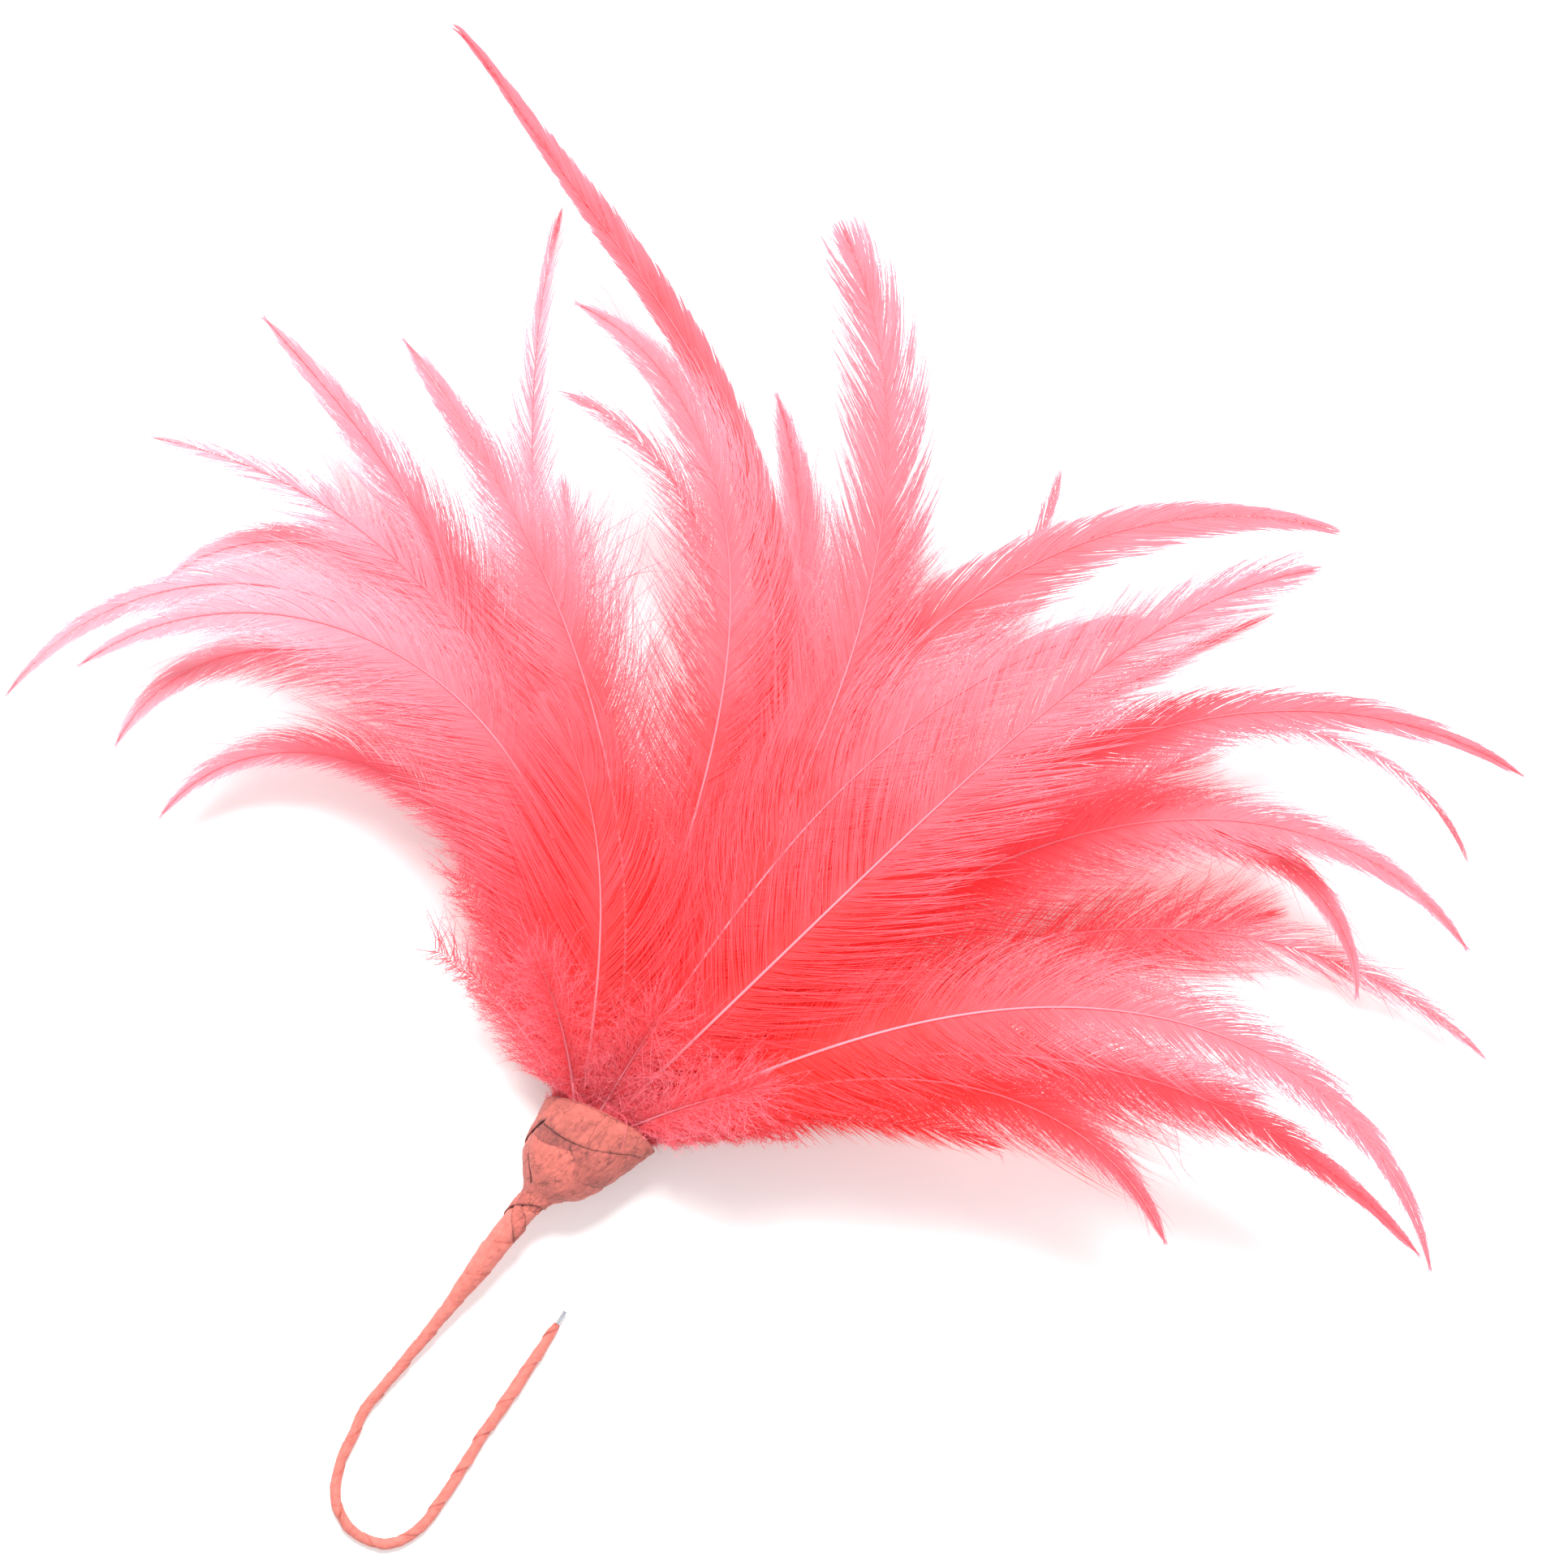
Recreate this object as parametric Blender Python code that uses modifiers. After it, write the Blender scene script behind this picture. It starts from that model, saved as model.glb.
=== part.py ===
"""Feather mount for hat trimming.

A spray of dyed cock hackles and downy plumes is bound to a soft steel wire, the binding is
covered by a folded paper knot, and the wire is wound with paper tape and bent back into a hook.
The mount lies flat: +Z is up, the stem points along -Y and the spray opens along +Y.
Lengths are in millimetres until a mesh or a curve is made, and then in metres.
"""
import math

import bmesh
import bpy

MM = 0.001

# Where the quills cross, measured from the frame's origin (middle of the footprint, on the floor)
ROOT_X = 5.9
ROOT_Y = -40.3
ROOT_Z = 7.9

# Feathers
LAYERS = 16
LAYER_STEP = 0.55          # height from one layer of quills to the next inside the knot
LAYER_TOP_FIRST = 0.3      # height that the lowest layer would reach far out
LAYER_TOP_STEP = 3.2
LAYER_TOP_GROWTH = 0.13
RISE_START = 10.5          # distance from the root at which the layers begin to part
RISE_LENGTH = 45.0
DROOP = 0.25
DROOP_REACH = 150.0
QUILL_RADIUS = 0.2
QUILL_BUTT = 3.0           # length of quill below the crossing point
QUILL_SPREAD = 0.047       # side step of a quill in the bundle, for each degree of its heading
TURN_IN = 6.0              # length over which a quill turns from the bundle to its heading
VANE_START = 12.0
VANE_SKEW = 0.65           # below 1 puts the widest place of a vane nearer the root
VANE_STEPS = 12
VANE_HALF_THICKNESS = 0.25
STRAIGHT = 90.0            # heading of the stem's axis, in degrees from +X

# name, layer, heading at the root, heading at the tip, curl, length, width
# A curl of 1 bends evenly, and a higher one bends more towards the tip.
FEATHERS = (
    ("left_hackle_1", 4, 139, 271, 1.9, 105, 10),
    ("left_hackle_2", 8, 132, 281, 1.95, 129, 10),
    ("left_hackle_3", 6, 123, 272, 1.45, 156, 8),
    ("left_hackle_4", 11, 122, 254, 1.4, 137, 8),
    ("left_hackle_5", 3, 131, 256, 2.4, 133, 11),
    ("left_hackle_6", 7, 123, 208, 1.25, 141, 10),
    ("left_hackle_7", 5, 114, 172, 0.6, 142, 10),
    ("left_hackle_8", 12, 101, 166, 0.6, 133, 10),
    ("left_hackle_9", 1, 133, 112, 5.0, 145, 6),
    ("front_curl_hackle", 14, 120, 163, 2.3, 72, 11),
    ("centre_hackle_1", 10, 108, 193, 2.9, 142, 10),
    ("centre_hackle_2", 9, 107, 200, 2.8, 130, 8),
    ("tail_hackle", 6, 87, 186, 1.0, 199, 7),
    ("centre_hackle_3", 1, 97, 146, 1.8, 125, 10),
    ("centre_hackle_4", 11, 95, 154, 2.2, 155, 11),
    ("right_hackle_1", 3, 89, 116, 5.0, 130, 8),
    ("sickle_hackle", 8, 102, 23, 2.15, 164, 10),
    ("right_hackle_2", 14, 83, 46, 5.0, 146, 10),
    ("right_hackle_3", 13, 96, 45, 2.3, 125, 10),
    ("right_hackle_4", 10, 84, 6, 2.2, 169, 8),
    ("right_hackle_5", 4, 81, -30, 3.2, 167, 6),
    ("twisted_hackle", 0, 90, 62, 1.0, 137, 7),
    ("right_hackle_6", 7, 78, -17, 2.4, 158, 8),
    ("right_hackle_7", 5, 78, -52, 3.1, 150, 9),
    ("right_hackle_8", 2, 71, -6, 1.8, 153, 8),
    ("right_hackle_9", 13, 64, -40, 2.0, 152, 10),
    ("right_hackle_10", 8, 63, -11, 1.3, 140, 10),
    ("right_hackle_11", 10, 59, -29, 1.9, 101, 10),
    ("right_hackle_12", 5, 50, 21, 1.6, 66, 6),
    ("down_plume_1", 7, 148, 186, 1.0, 38, 8),
    ("down_plume_2", 5, 146, 160, 1.0, 46, 10),
    ("down_plume_3", 0, 139, 162, 1.0, 110, 13),
    ("down_plume_4", 2, 125, 135, 1.0, 104, 13),
    ("down_plume_5", 2, 97, 103, 1.0, 112, 13),
    ("down_plume_6", 1, 75, 68, 1.0, 118, 13),
    ("down_plume_7", 0, 60, 55, 1.0, 115, 13),
    ("down_plume_8", 1, 50, 36, 1.0, 106, 11),
    ("down_plume_9", 7, 48, 42, 1.0, 34, 6),
    ("top_tuft_1", 15, 130, 152, 1.0, 30, 6),
    ("top_tuft_2", 15, 98, 96, 1.0, 26, 6),
    ("top_tuft_3", 15, 66, 50, 1.0, 30, 6),
)

# Paper knot: distance along the axis from the root, half width, half height
KNOT_SECTIONS = (
    (-8.4, 2.2, 2.2),
    (-5.0, 4.6, 4.8),
    (-1.0, 6.3, 6.3),
    (3.0, 7.4, 6.9),
    (6.0, 8.1, 6.9),
    (8.0, 8.6, 6.8),
)
SQUARENESS = 0.8           # 1 gives elliptical sections, and less gives squarer ones
MOUTH_SLANT = 0.2          # the mouth's edge runs further up on the right
MOUTH_ARCH = 1.6           # and bulges in the middle
PAPER = 0.25
WRAP_STEP = 0.5            # from one lap of paper to the next

# name, lap, and the patch's corners as (share of the knot's length, degrees round from +X)
KNOT_PATCHES = (
    ("left_strip", 1, (0.84, 196), (0.84, 146), (0.20, 128), (0.20, 178)),
    ("front_panel", 1, (0.84, 140), (0.84, 72), (0.20, 70), (0.20, 122)),
    ("right_fold", 1, (0.84, 66), (0.84, -12), (0.20, -4), (0.20, 64)),
    ("back_panel", 1, (0.84, -18), (0.84, -158), (0.20, -176), (0.20, -10)),
)
# name, lap, lower edge, upper edge, slant
KNOT_BANDS = (
    ("collar_strip", 1, 0.86, 1.0, 0.0),
    ("neck_strap", 1, 0.03, 0.18, 0.0),
    ("neck_cross_strap", 2, 0.07, 0.17, 0.05),
)
PATCH_ROWS = 8
PATCH_COLUMNS = 8
BAND_COLUMNS = 32

# Binding thread round the quills
THREAD_RADIUS = 0.15
THREAD_TURNS = 5
THREAD_PITCH = 0.5
THREAD_HALF_WIDTH = 4.2
THREAD_HALF_HEIGHT = 5.1
THREAD_START = -2.6

# Stem wire: 0.72 mm across, in hollow paper tape
WIRE_RADIUS = 0.36
TAPE_WALL = 0.2
TAPE_RADIUS = 0.86
# distance across and along from the root, and height above the floor
STEM_ROUTE = (
    (0.0, 0.5, 7.9),
    (0.0, -4.0, 7.9),
    (-0.6, -8.4, 7.6),
    (-0.8, -16.4, 6.4),
    (-0.6, -21.8, 5.4),
    (-0.5, -27.6, 4.2),
    (-0.4, -33.6, 3.0),
    (-0.5, -39.2, 2.1),
    (-0.6, -44.8, 1.4),
    (-0.7, -50.0, 1.1),
    (0.4, -54.7, 1.0),
    (1.4, -58.8, 0.9),
    (3.0, -62.1, 0.9),
    (5.2, -64.6, 0.9),
    (8.0, -65.9, 0.9),
    (11.0, -66.1, 0.9),
    (13.8, -65.2, 0.9),
    (15.7, -63.5, 0.9),
    (16.8, -61.5, 0.9),
    (17.3, -59.3, 0.9),
    (17.4, -56.3, 0.9),
    (17.1, -51.9, 0.9),
    (16.5, -46.5, 0.9),
    (16.0, -42.6, 0.9),
    (15.7, -38.2, 1.0),
    (15.4, -34.3, 1.0),
    (15.0, -29.9, 1.0),
    (14.6, -25.8, 0.9),
    (14.3, -22.4, 0.9),
    (14.0, -19.3, 0.9),
)
ROUTE_SUBSTEPS = 2
# The wire hinges where a hand bends it. Each value is a place on STEM_ROUTE, counted in points.
KNOT_END = 2.2
NECK_BEND = 5.0
HOOK_NEAR = 12.0
HOOK_FAR = 17.0
TAPE_END = 28.4
WIRE_END = 29.0
NECK_GAP = 0.14            # clearance each side of a bend, in route points
HOOK_GAP = 0.42
# place on the route and radius of the tape there
TAPE_RADII = (
    (2.2, 1.9),
    (4.2, 1.8),
    (5.8, 0.95),
    (7.0, TAPE_RADIUS),
    (24.0, TAPE_RADIUS),
    (25.0, 0.95),
    (27.0, 0.85),
    (28.4, 0.72),
)


def material(name, colour, roughness, metallic=0.0):
    paint = bpy.data.materials.new(name)
    paint.use_nodes = True
    shader = paint.node_tree.nodes["Principled BSDF"]
    shader.inputs["Base Color"].default_value = (*colour, 1.0)
    shader.inputs["Roughness"].default_value = roughness
    shader.inputs["Metallic"].default_value = metallic
    paint.diffuse_color = (*colour, 1.0)
    return paint


def in_frame(point):
    x, y, z = point
    return ((ROOT_X + x) * MM, (ROOT_Y + y) * MM, z * MM)


def mesh_object(name, points, faces, paint, smooth=True):
    """A named object from points in millimetres about the root, with z from the floor."""
    mesh = bpy.data.meshes.new(name)
    mesh.from_pydata([in_frame(p) for p in points], [], faces)
    shape = bmesh.new()
    shape.from_mesh(mesh)
    bmesh.ops.recalc_face_normals(shape, faces=shape.faces)
    shape.to_mesh(mesh)
    shape.free()
    if smooth:
        mesh.shade_smooth()
        mesh.set_sharp_from_angle(angle=math.radians(50))
    mesh.materials.append(paint)
    thing = bpy.data.objects.new(name, mesh)
    parts.objects.link(thing)
    return thing


def loft(name, rings, paint):
    """Bridge rings of equal length and close both ends."""
    count = len(rings[0])
    points = [p for ring in rings for p in ring]
    faces = [tuple(range(count))]
    for row in range(len(rings) - 1):
        for column in range(count):
            beside = (column + 1) % count
            low = row * count
            high = low + count
            faces.append((low + column, low + beside, high + beside, high + column))
    last = (len(rings) - 1) * count
    faces.append(tuple(last + column for column in reversed(range(count))))
    return mesh_object(name, points, faces, paint)


def sheet(name, rows, paint, thickness, closed=False):
    """An open grid of points given a thickness outwards."""
    count = len(rows[0])
    points = [p for row in rows for p in row]
    faces = []
    spans = count if closed else count - 1
    for row in range(len(rows) - 1):
        for column in range(spans):
            beside = (column + 1) % count
            low = row * count
            high = low + count
            faces.append((low + column, low + beside, high + beside, high + column))
    thing = mesh_object(name, points, faces, paint)
    solid = thing.modifiers.new("thickness", "SOLIDIFY")
    solid.thickness = thickness * MM
    solid.offset = 1.0
    solid.use_even_offset = True
    return thing


def layer_height(layer, distance):
    """Height above the floor of a layer of feathers at a distance from the root."""
    start = ROOT_Z + (layer - (LAYERS - 1) / 2) * LAYER_STEP
    top = LAYER_TOP_FIRST + LAYER_TOP_STEP * layer + LAYER_TOP_GROWTH * layer**2
    rise = 1 - math.exp(-max(0.0, distance - RISE_START) / RISE_LENGTH)
    droop = 1 - DROOP * (distance / DROOP_REACH) ** 2
    return start + (top - start) * rise * droop


def heading_at(place, start, end, curl, length):
    if place < TURN_IN:
        share = max(0.0, place) / TURN_IN
        ease = share * share * (3 - 2 * share)
        return STRAIGHT + (start - STRAIGHT) * ease
    share = (place - TURN_IN) / (length - TURN_IN)
    return start + (end - start) * min(1.0, share) ** curl


def feather_midline(places, start, end, curl, length):
    """Plan position and heading in radians at each place along a feather."""
    x = QUILL_SPREAD * (STRAIGHT - start)
    y = -QUILL_BUTT
    place = -QUILL_BUTT
    step = 0.5
    found = []
    for wanted in places:
        while place < wanted - 1e-6:
            move = min(step, wanted - place)
            turn = math.radians(heading_at(place + move / 2, start, end, curl, length))
            x += math.cos(turn) * move
            y += math.sin(turn) * move
            place += move
        turn = math.radians(heading_at(place, start, end, curl, length))
        found.append((x, y, turn))
    return found


def half_width(place, length, width):
    share = min(1.0, max(0.0, (place - VANE_START) / (length - VANE_START)))
    return QUILL_RADIUS + (width / 2 - QUILL_RADIUS) * math.sin(math.pi * share**VANE_SKEW)


def feather(name, layer, start, end, curl, length, width, paint):
    """A quill that widens into a thin vane, lying on its layer's curved surface."""
    vane = [VANE_START + (length - VANE_START) * i / VANE_STEPS for i in range(VANE_STEPS + 1)]
    places = [-QUILL_BUTT, 0.0, TURN_IN / 2, TURN_IN, TURN_IN + 3.0] + vane
    rings = []
    for place, (x, y, turn) in zip(places, feather_midline(places, start, end, curl, length)):
        half = half_width(place, length, width)
        thick = VANE_HALF_THICKNESS if place > VANE_START else QUILL_RADIUS
        left = (x - math.sin(turn) * half, y + math.cos(turn) * half)
        right = (x + math.sin(turn) * half, y - math.cos(turn) * half)
        middle = layer_height(layer, math.hypot(x, y))
        rings.append((
            (*left, layer_height(layer, math.hypot(*left))),
            (x, y, middle + thick),
            (*right, layer_height(layer, math.hypot(*right))),
            (x, y, middle - thick),
        ))
    return loft(name, rings, paint)


def squarish(value):
    """A sine or cosine drawn towards the corners of a rounded square."""
    return math.copysign(abs(value) ** SQUARENESS, value)


def knot_size(share):
    """Place on the axis, half width and half height, at a share of the knot's length."""
    spot = share * (len(KNOT_SECTIONS) - 1)
    low = min(int(spot), len(KNOT_SECTIONS) - 2)
    part = spot - low
    return [a + (b - a) * part for a, b in zip(KNOT_SECTIONS[low], KNOT_SECTIONS[low + 1])]


def knot_point(share, degrees, lap):
    """A point on the knot's surface, a number of paper laps outside the cup."""
    along, half_across, half_high = knot_size(share)
    turn = math.radians(degrees)
    across = squarish(math.cos(turn)) * (half_across + lap * WRAP_STEP)
    up = squarish(math.sin(turn)) * (half_high + lap * WRAP_STEP)
    slant = share**2 * (MOUTH_SLANT * across + MOUTH_ARCH * math.sin(turn) ** 2 - MOUTH_ARCH / 2)
    centre = -0.7 + 0.9 * share
    return (across + centre, along + slant, ROOT_Z + up)


def knot_cup(paint):
    rows = []
    for i in range(PATCH_ROWS + 1):
        share = i / PATCH_ROWS
        rows.append([knot_point(share, 360 * j / BAND_COLUMNS, 0) for j in range(BAND_COLUMNS)])
    return sheet("paper_cup", rows, paint, -PAPER, closed=True)


def knot_band(name, lap, low, high, slant, paint):
    rows = []
    for edge in (low, (low + high) / 2, high):
        row = []
        for j in range(BAND_COLUMNS):
            degrees = 360 * j / BAND_COLUMNS
            row.append(knot_point(edge + slant * math.cos(math.radians(degrees)), degrees, lap))
        rows.append(row)
    return sheet(name, rows, paint, PAPER, closed=True)


def knot_patch(name, lap, corners, paint):
    """A strip of paper between four corners on the knot's surface."""
    rows = []
    for i in range(PATCH_ROWS + 1):
        down = i / PATCH_ROWS
        row = []
        for j in range(PATCH_COLUMNS + 1):
            over = j / PATCH_COLUMNS
            top = [a + (b - a) * over for a, b in zip(corners[0], corners[1])]
            base = [a + (b - a) * over for a, b in zip(corners[3], corners[2])]
            share, degrees = [a + (b - a) * down for a, b in zip(top, base)]
            row.append(knot_point(share, degrees, lap))
        rows.append(row)
    return sheet(name, rows, paint, PAPER)


def tube(name, points, radius, paint, radii=None, hollow=False, pivot=None):
    """A round wire with filled ends, or a hollow tube with an open bore, its origin at a pivot."""
    origin = in_frame(pivot) if pivot else (0.0, 0.0, 0.0)
    curve = bpy.data.curves.new(name, "CURVE")
    curve.dimensions = "3D"
    curve.bevel_resolution = 2
    curve.bevel_depth = radius * MM
    curve.use_fill_caps = not hollow
    spline = curve.splines.new("POLY")
    spline.points.add(len(points) - 1)
    for i, point in enumerate(points):
        offset = [a - b for a, b in zip(in_frame(point), origin)]
        spline.points[i].co = (*offset, 1.0)
        spline.points[i].radius = radii[i] / radius if radii else 1.0
    curve.materials.append(paint)
    thing = bpy.data.objects.new(name, curve)
    thing.location = origin
    parts.objects.link(thing)
    if hollow:
        wall = thing.modifiers.new("wall", "SOLIDIFY")
        wall.thickness = TAPE_WALL * MM
        wall.offset = -1.0
    return thing


def route_point(place):
    """A point on the smooth stem route, at a place counted in route points."""
    last = len(STEM_ROUTE) - 1
    low = min(int(place), last - 1)
    part = place - low
    before = STEM_ROUTE[max(0, low - 1)]
    here = STEM_ROUTE[low]
    there = STEM_ROUTE[low + 1]
    after = STEM_ROUTE[min(last, low + 2)]
    point = []
    for a, b, c, d in zip(before, here, there, after):
        bend = 2 * a - 5 * b + 4 * c - d
        twist = -a + 3 * b - 3 * c + d
        point.append(0.5 * (2 * b + (c - a) * part + bend * part**2 + twist * part**3))
    return tuple(point)


def route_places(start, end):
    count = max(2, round((end - start) * ROUTE_SUBSTEPS))
    return [start + (end - start) * i / count for i in range(count + 1)]


def tape_radius(place):
    for (low, thin), (high, thick) in zip(TAPE_RADII, TAPE_RADII[1:]):
        if place <= high:
            share = max(0.0, (place - low) / (high - low))
            return thin + (thick - thin) * share
    return TAPE_RADII[-1][1]


def wire_piece(name, start, end, pivot, paint):
    tube(name, [route_point(p) for p in route_places(start, end)], WIRE_RADIUS, paint, pivot=pivot)


def tape_piece(name, start, end, pivot, paint):
    places = route_places(start, end)
    points = [route_point(p) for p in places]
    radii = [tape_radius(p) for p in places]
    tube(name, points, TAPE_RADIUS, paint, radii, hollow=True, pivot=pivot)


def stem(wire, tape):
    """Wire and tape, split where the wire is bent by hand, each piece's origin at its bend."""
    cuts = (
        ("upper", 0.0, NECK_BEND - NECK_GAP, None),
        ("shank", NECK_BEND + NECK_GAP, HOOK_NEAR - HOOK_GAP, route_point(NECK_BEND)),
        ("bend", HOOK_NEAR + HOOK_GAP, HOOK_FAR - HOOK_GAP, route_point(HOOK_NEAR)),
        ("tip", HOOK_FAR + HOOK_GAP, WIRE_END, route_point(HOOK_FAR)),
    )
    for name, start, end, pivot in cuts:
        wire_piece("wire_" + name, start, end, pivot, wire)
        tape_piece("tape_" + name, max(start, KNOT_END), min(end, TAPE_END), pivot, tape)


def binding_thread(paint):
    steps_a_turn = 16
    points = []
    for i in range(THREAD_TURNS * steps_a_turn + 1):
        turn = math.tau * i / steps_a_turn
        points.append((
            THREAD_HALF_WIDTH * squarish(math.cos(turn)),
            THREAD_START + THREAD_PITCH * i / steps_a_turn,
            ROOT_Z + THREAD_HALF_HEIGHT * squarish(math.sin(turn)),
        ))
    tube("binding_thread", points, THREAD_RADIUS, paint)


def build():
    hackle = material("dyed_hackle", (0.95, 0.16, 0.17), 0.6)
    down = material("dyed_down", (0.98, 0.25, 0.27), 0.8)
    paper = material("salmon_paper", (0.78, 0.27, 0.19), 0.75)
    tape = material("stem_tape", (0.90, 0.32, 0.24), 0.75)
    wire = material("plated_wire", (0.62, 0.64, 0.66), 0.3, 1.0)
    thread = material("cotton_thread", (0.75, 0.12, 0.12), 0.85)
    for row in FEATHERS:
        feather(*row, down if "down" in row[0] or "tuft" in row[0] else hackle)
    knot_cup(paper)
    for name, lap, *corners in KNOT_PATCHES:
        knot_patch(name, lap, corners, paper)
    for row in KNOT_BANDS:
        knot_band(*row, paper)
    binding_thread(thread)
    stem(wire, tape)


for old in list(bpy.data.objects):
    bpy.data.objects.remove(old, do_unlink=True)
parts = bpy.data.collections.new("feather_mount")
bpy.context.scene.collection.children.link(parts)
build()
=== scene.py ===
"""Looks of the feather mount: barbed hackles, down, folded paper knot, wound stem and wire end.

Lengths are in millimetres about the root, where the quills cross, until a mesh is made.
"""
import math

import bpy
import numpy as np
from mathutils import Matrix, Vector, noise


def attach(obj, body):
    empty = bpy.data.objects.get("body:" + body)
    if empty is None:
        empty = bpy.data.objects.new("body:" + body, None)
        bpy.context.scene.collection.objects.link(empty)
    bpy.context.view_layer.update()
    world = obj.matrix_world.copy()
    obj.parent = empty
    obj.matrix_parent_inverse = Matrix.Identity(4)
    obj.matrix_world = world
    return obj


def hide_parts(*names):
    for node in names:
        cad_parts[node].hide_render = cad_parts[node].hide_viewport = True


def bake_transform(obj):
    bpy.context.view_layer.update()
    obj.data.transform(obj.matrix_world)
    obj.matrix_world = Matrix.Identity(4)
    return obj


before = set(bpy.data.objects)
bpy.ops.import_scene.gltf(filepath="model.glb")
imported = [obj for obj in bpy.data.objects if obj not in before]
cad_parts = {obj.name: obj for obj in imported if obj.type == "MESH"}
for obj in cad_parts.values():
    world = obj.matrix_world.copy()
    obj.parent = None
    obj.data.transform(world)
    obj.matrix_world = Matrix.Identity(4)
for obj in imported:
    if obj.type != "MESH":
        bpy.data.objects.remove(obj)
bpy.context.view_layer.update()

MM = 0.001
ROOT = np.array([5.9, -40.3, 0.0])      # the root in the frame, in plan; heights count from the floor
ROOT_Z = 7.9

# ---------------------------------------------------------------- layers and midlines, as in the CAD
LAYERS = 16
LAYER_STEP = 0.55
LAYER_TOP_FIRST = 0.3
LAYER_TOP_STEP = 3.2
LAYER_TOP_GROWTH = 0.13
RISE_START = 10.5
RISE_LENGTH = 45.0
DROOP = 0.25
DROOP_REACH = 150.0
QUILL_BUTT = 3.0
QUILL_SPREAD = 0.047
TURN_IN = 6.0
STRAIGHT = 90.0
SWAY_WAVES = 0.61
FIRST_SEED = 1000
FLOOR_CLEARANCE = 0.25

CUPPING = -0.010        # how far a vane curves down at its sides, per square millimetre
CLUMP_PULL = 0.26       # how far barbs lean to the middle of their clump
CLUMP_LEAST = 1.2       # and how much of the quill a clump takes
CLUMP_MOST = 4.4
BARBULE_HALF = 0.03     # half the width of a barbule at its base
BARBULE_LENGTHS = (0.6, 1.8)
QUILL_TONE = (0.88, 0.45)       # low on the quill and at its tip
QUILL_TONE_AT = (0.35, 0.9)     # share of the feather's length
QUILL_RADIUS = (0.29, 0.21, 0.04)
QUILL_RADIUS_AT = (0, 0.3, 1)
QUILL_STEP = 2.0
QUILL_LIFT = 0.14               # over the middle of the vane
# angle and length of the vane's barbs along the vane
ANGLE_AT = (0, 0.25, 0.5, 0.74, 0.9, 1)
REACH_AT = (0, 0.12, 0.5, 0.8, 1)
MIDDLE_WIDE = 0.72              # share of the base angle that the vane's middle keeps
BARB_STEPS = 8
CLUMP_ANGLE = 2.0               # how much the clumps of a ragged vane differ
CLUMP_REACH = 0.06
CLUMP_LIFT = 0.03
LOOSE_WIDTH = 0.13
LOOSE_TONE = 0.08
LOOSE_WAVE = 0.35
LOOSE_REACH = (0.9, 1.45)
# the down at the base of each feather
DOWN_FIRST = 4.5                # from the root
DOWN_PAST = 10.0                # past the start of the vane
DOWN_LONGEST = 12.0
DOWN_SHARE = 0.8                # of the barbs' length
DOWN_GAP = 0.42
DOWN_STEPS = 9
DOWN_ANGLE = 48
DOWN_REACH = (0.5, 1.1)
DOWN_WIDTH = 0.16
DOWN_WAVE = 0.5
PLUME_DOWN_GAP = 0.8
PLUME_DOWN_END = 0.9
TIP_TONE = 0.18                 # how much paler a barb is at its end
EACH_TONE = 0.035               # and how much one barb differs from the next
TONE_REACH = (0, 20, 38, 60, 95, 130)           # distance from the root
TONE_LEVEL = (0.26, 0.20, 0.14, 0.21, 0.44, 0.57)   # and how pale the dye is there
TONE_SIDE = 0.0030      # how much paler for each degree that a feather heads to the left
MIDDLE_HEADING = 98
# the fan's left side is dyed paler still, from this far round and this far out
PALE_FROM, PALE_TO = 126, 156
PALE_NEAR, PALE_FAR = 28, 56
PALE_MORE = 0.24
# a feather that is deeper in tone than the others is so only near the root
DEEP_REACH = (42, 80)
DEEP_SHARE = (1.0, 0.4)

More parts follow.
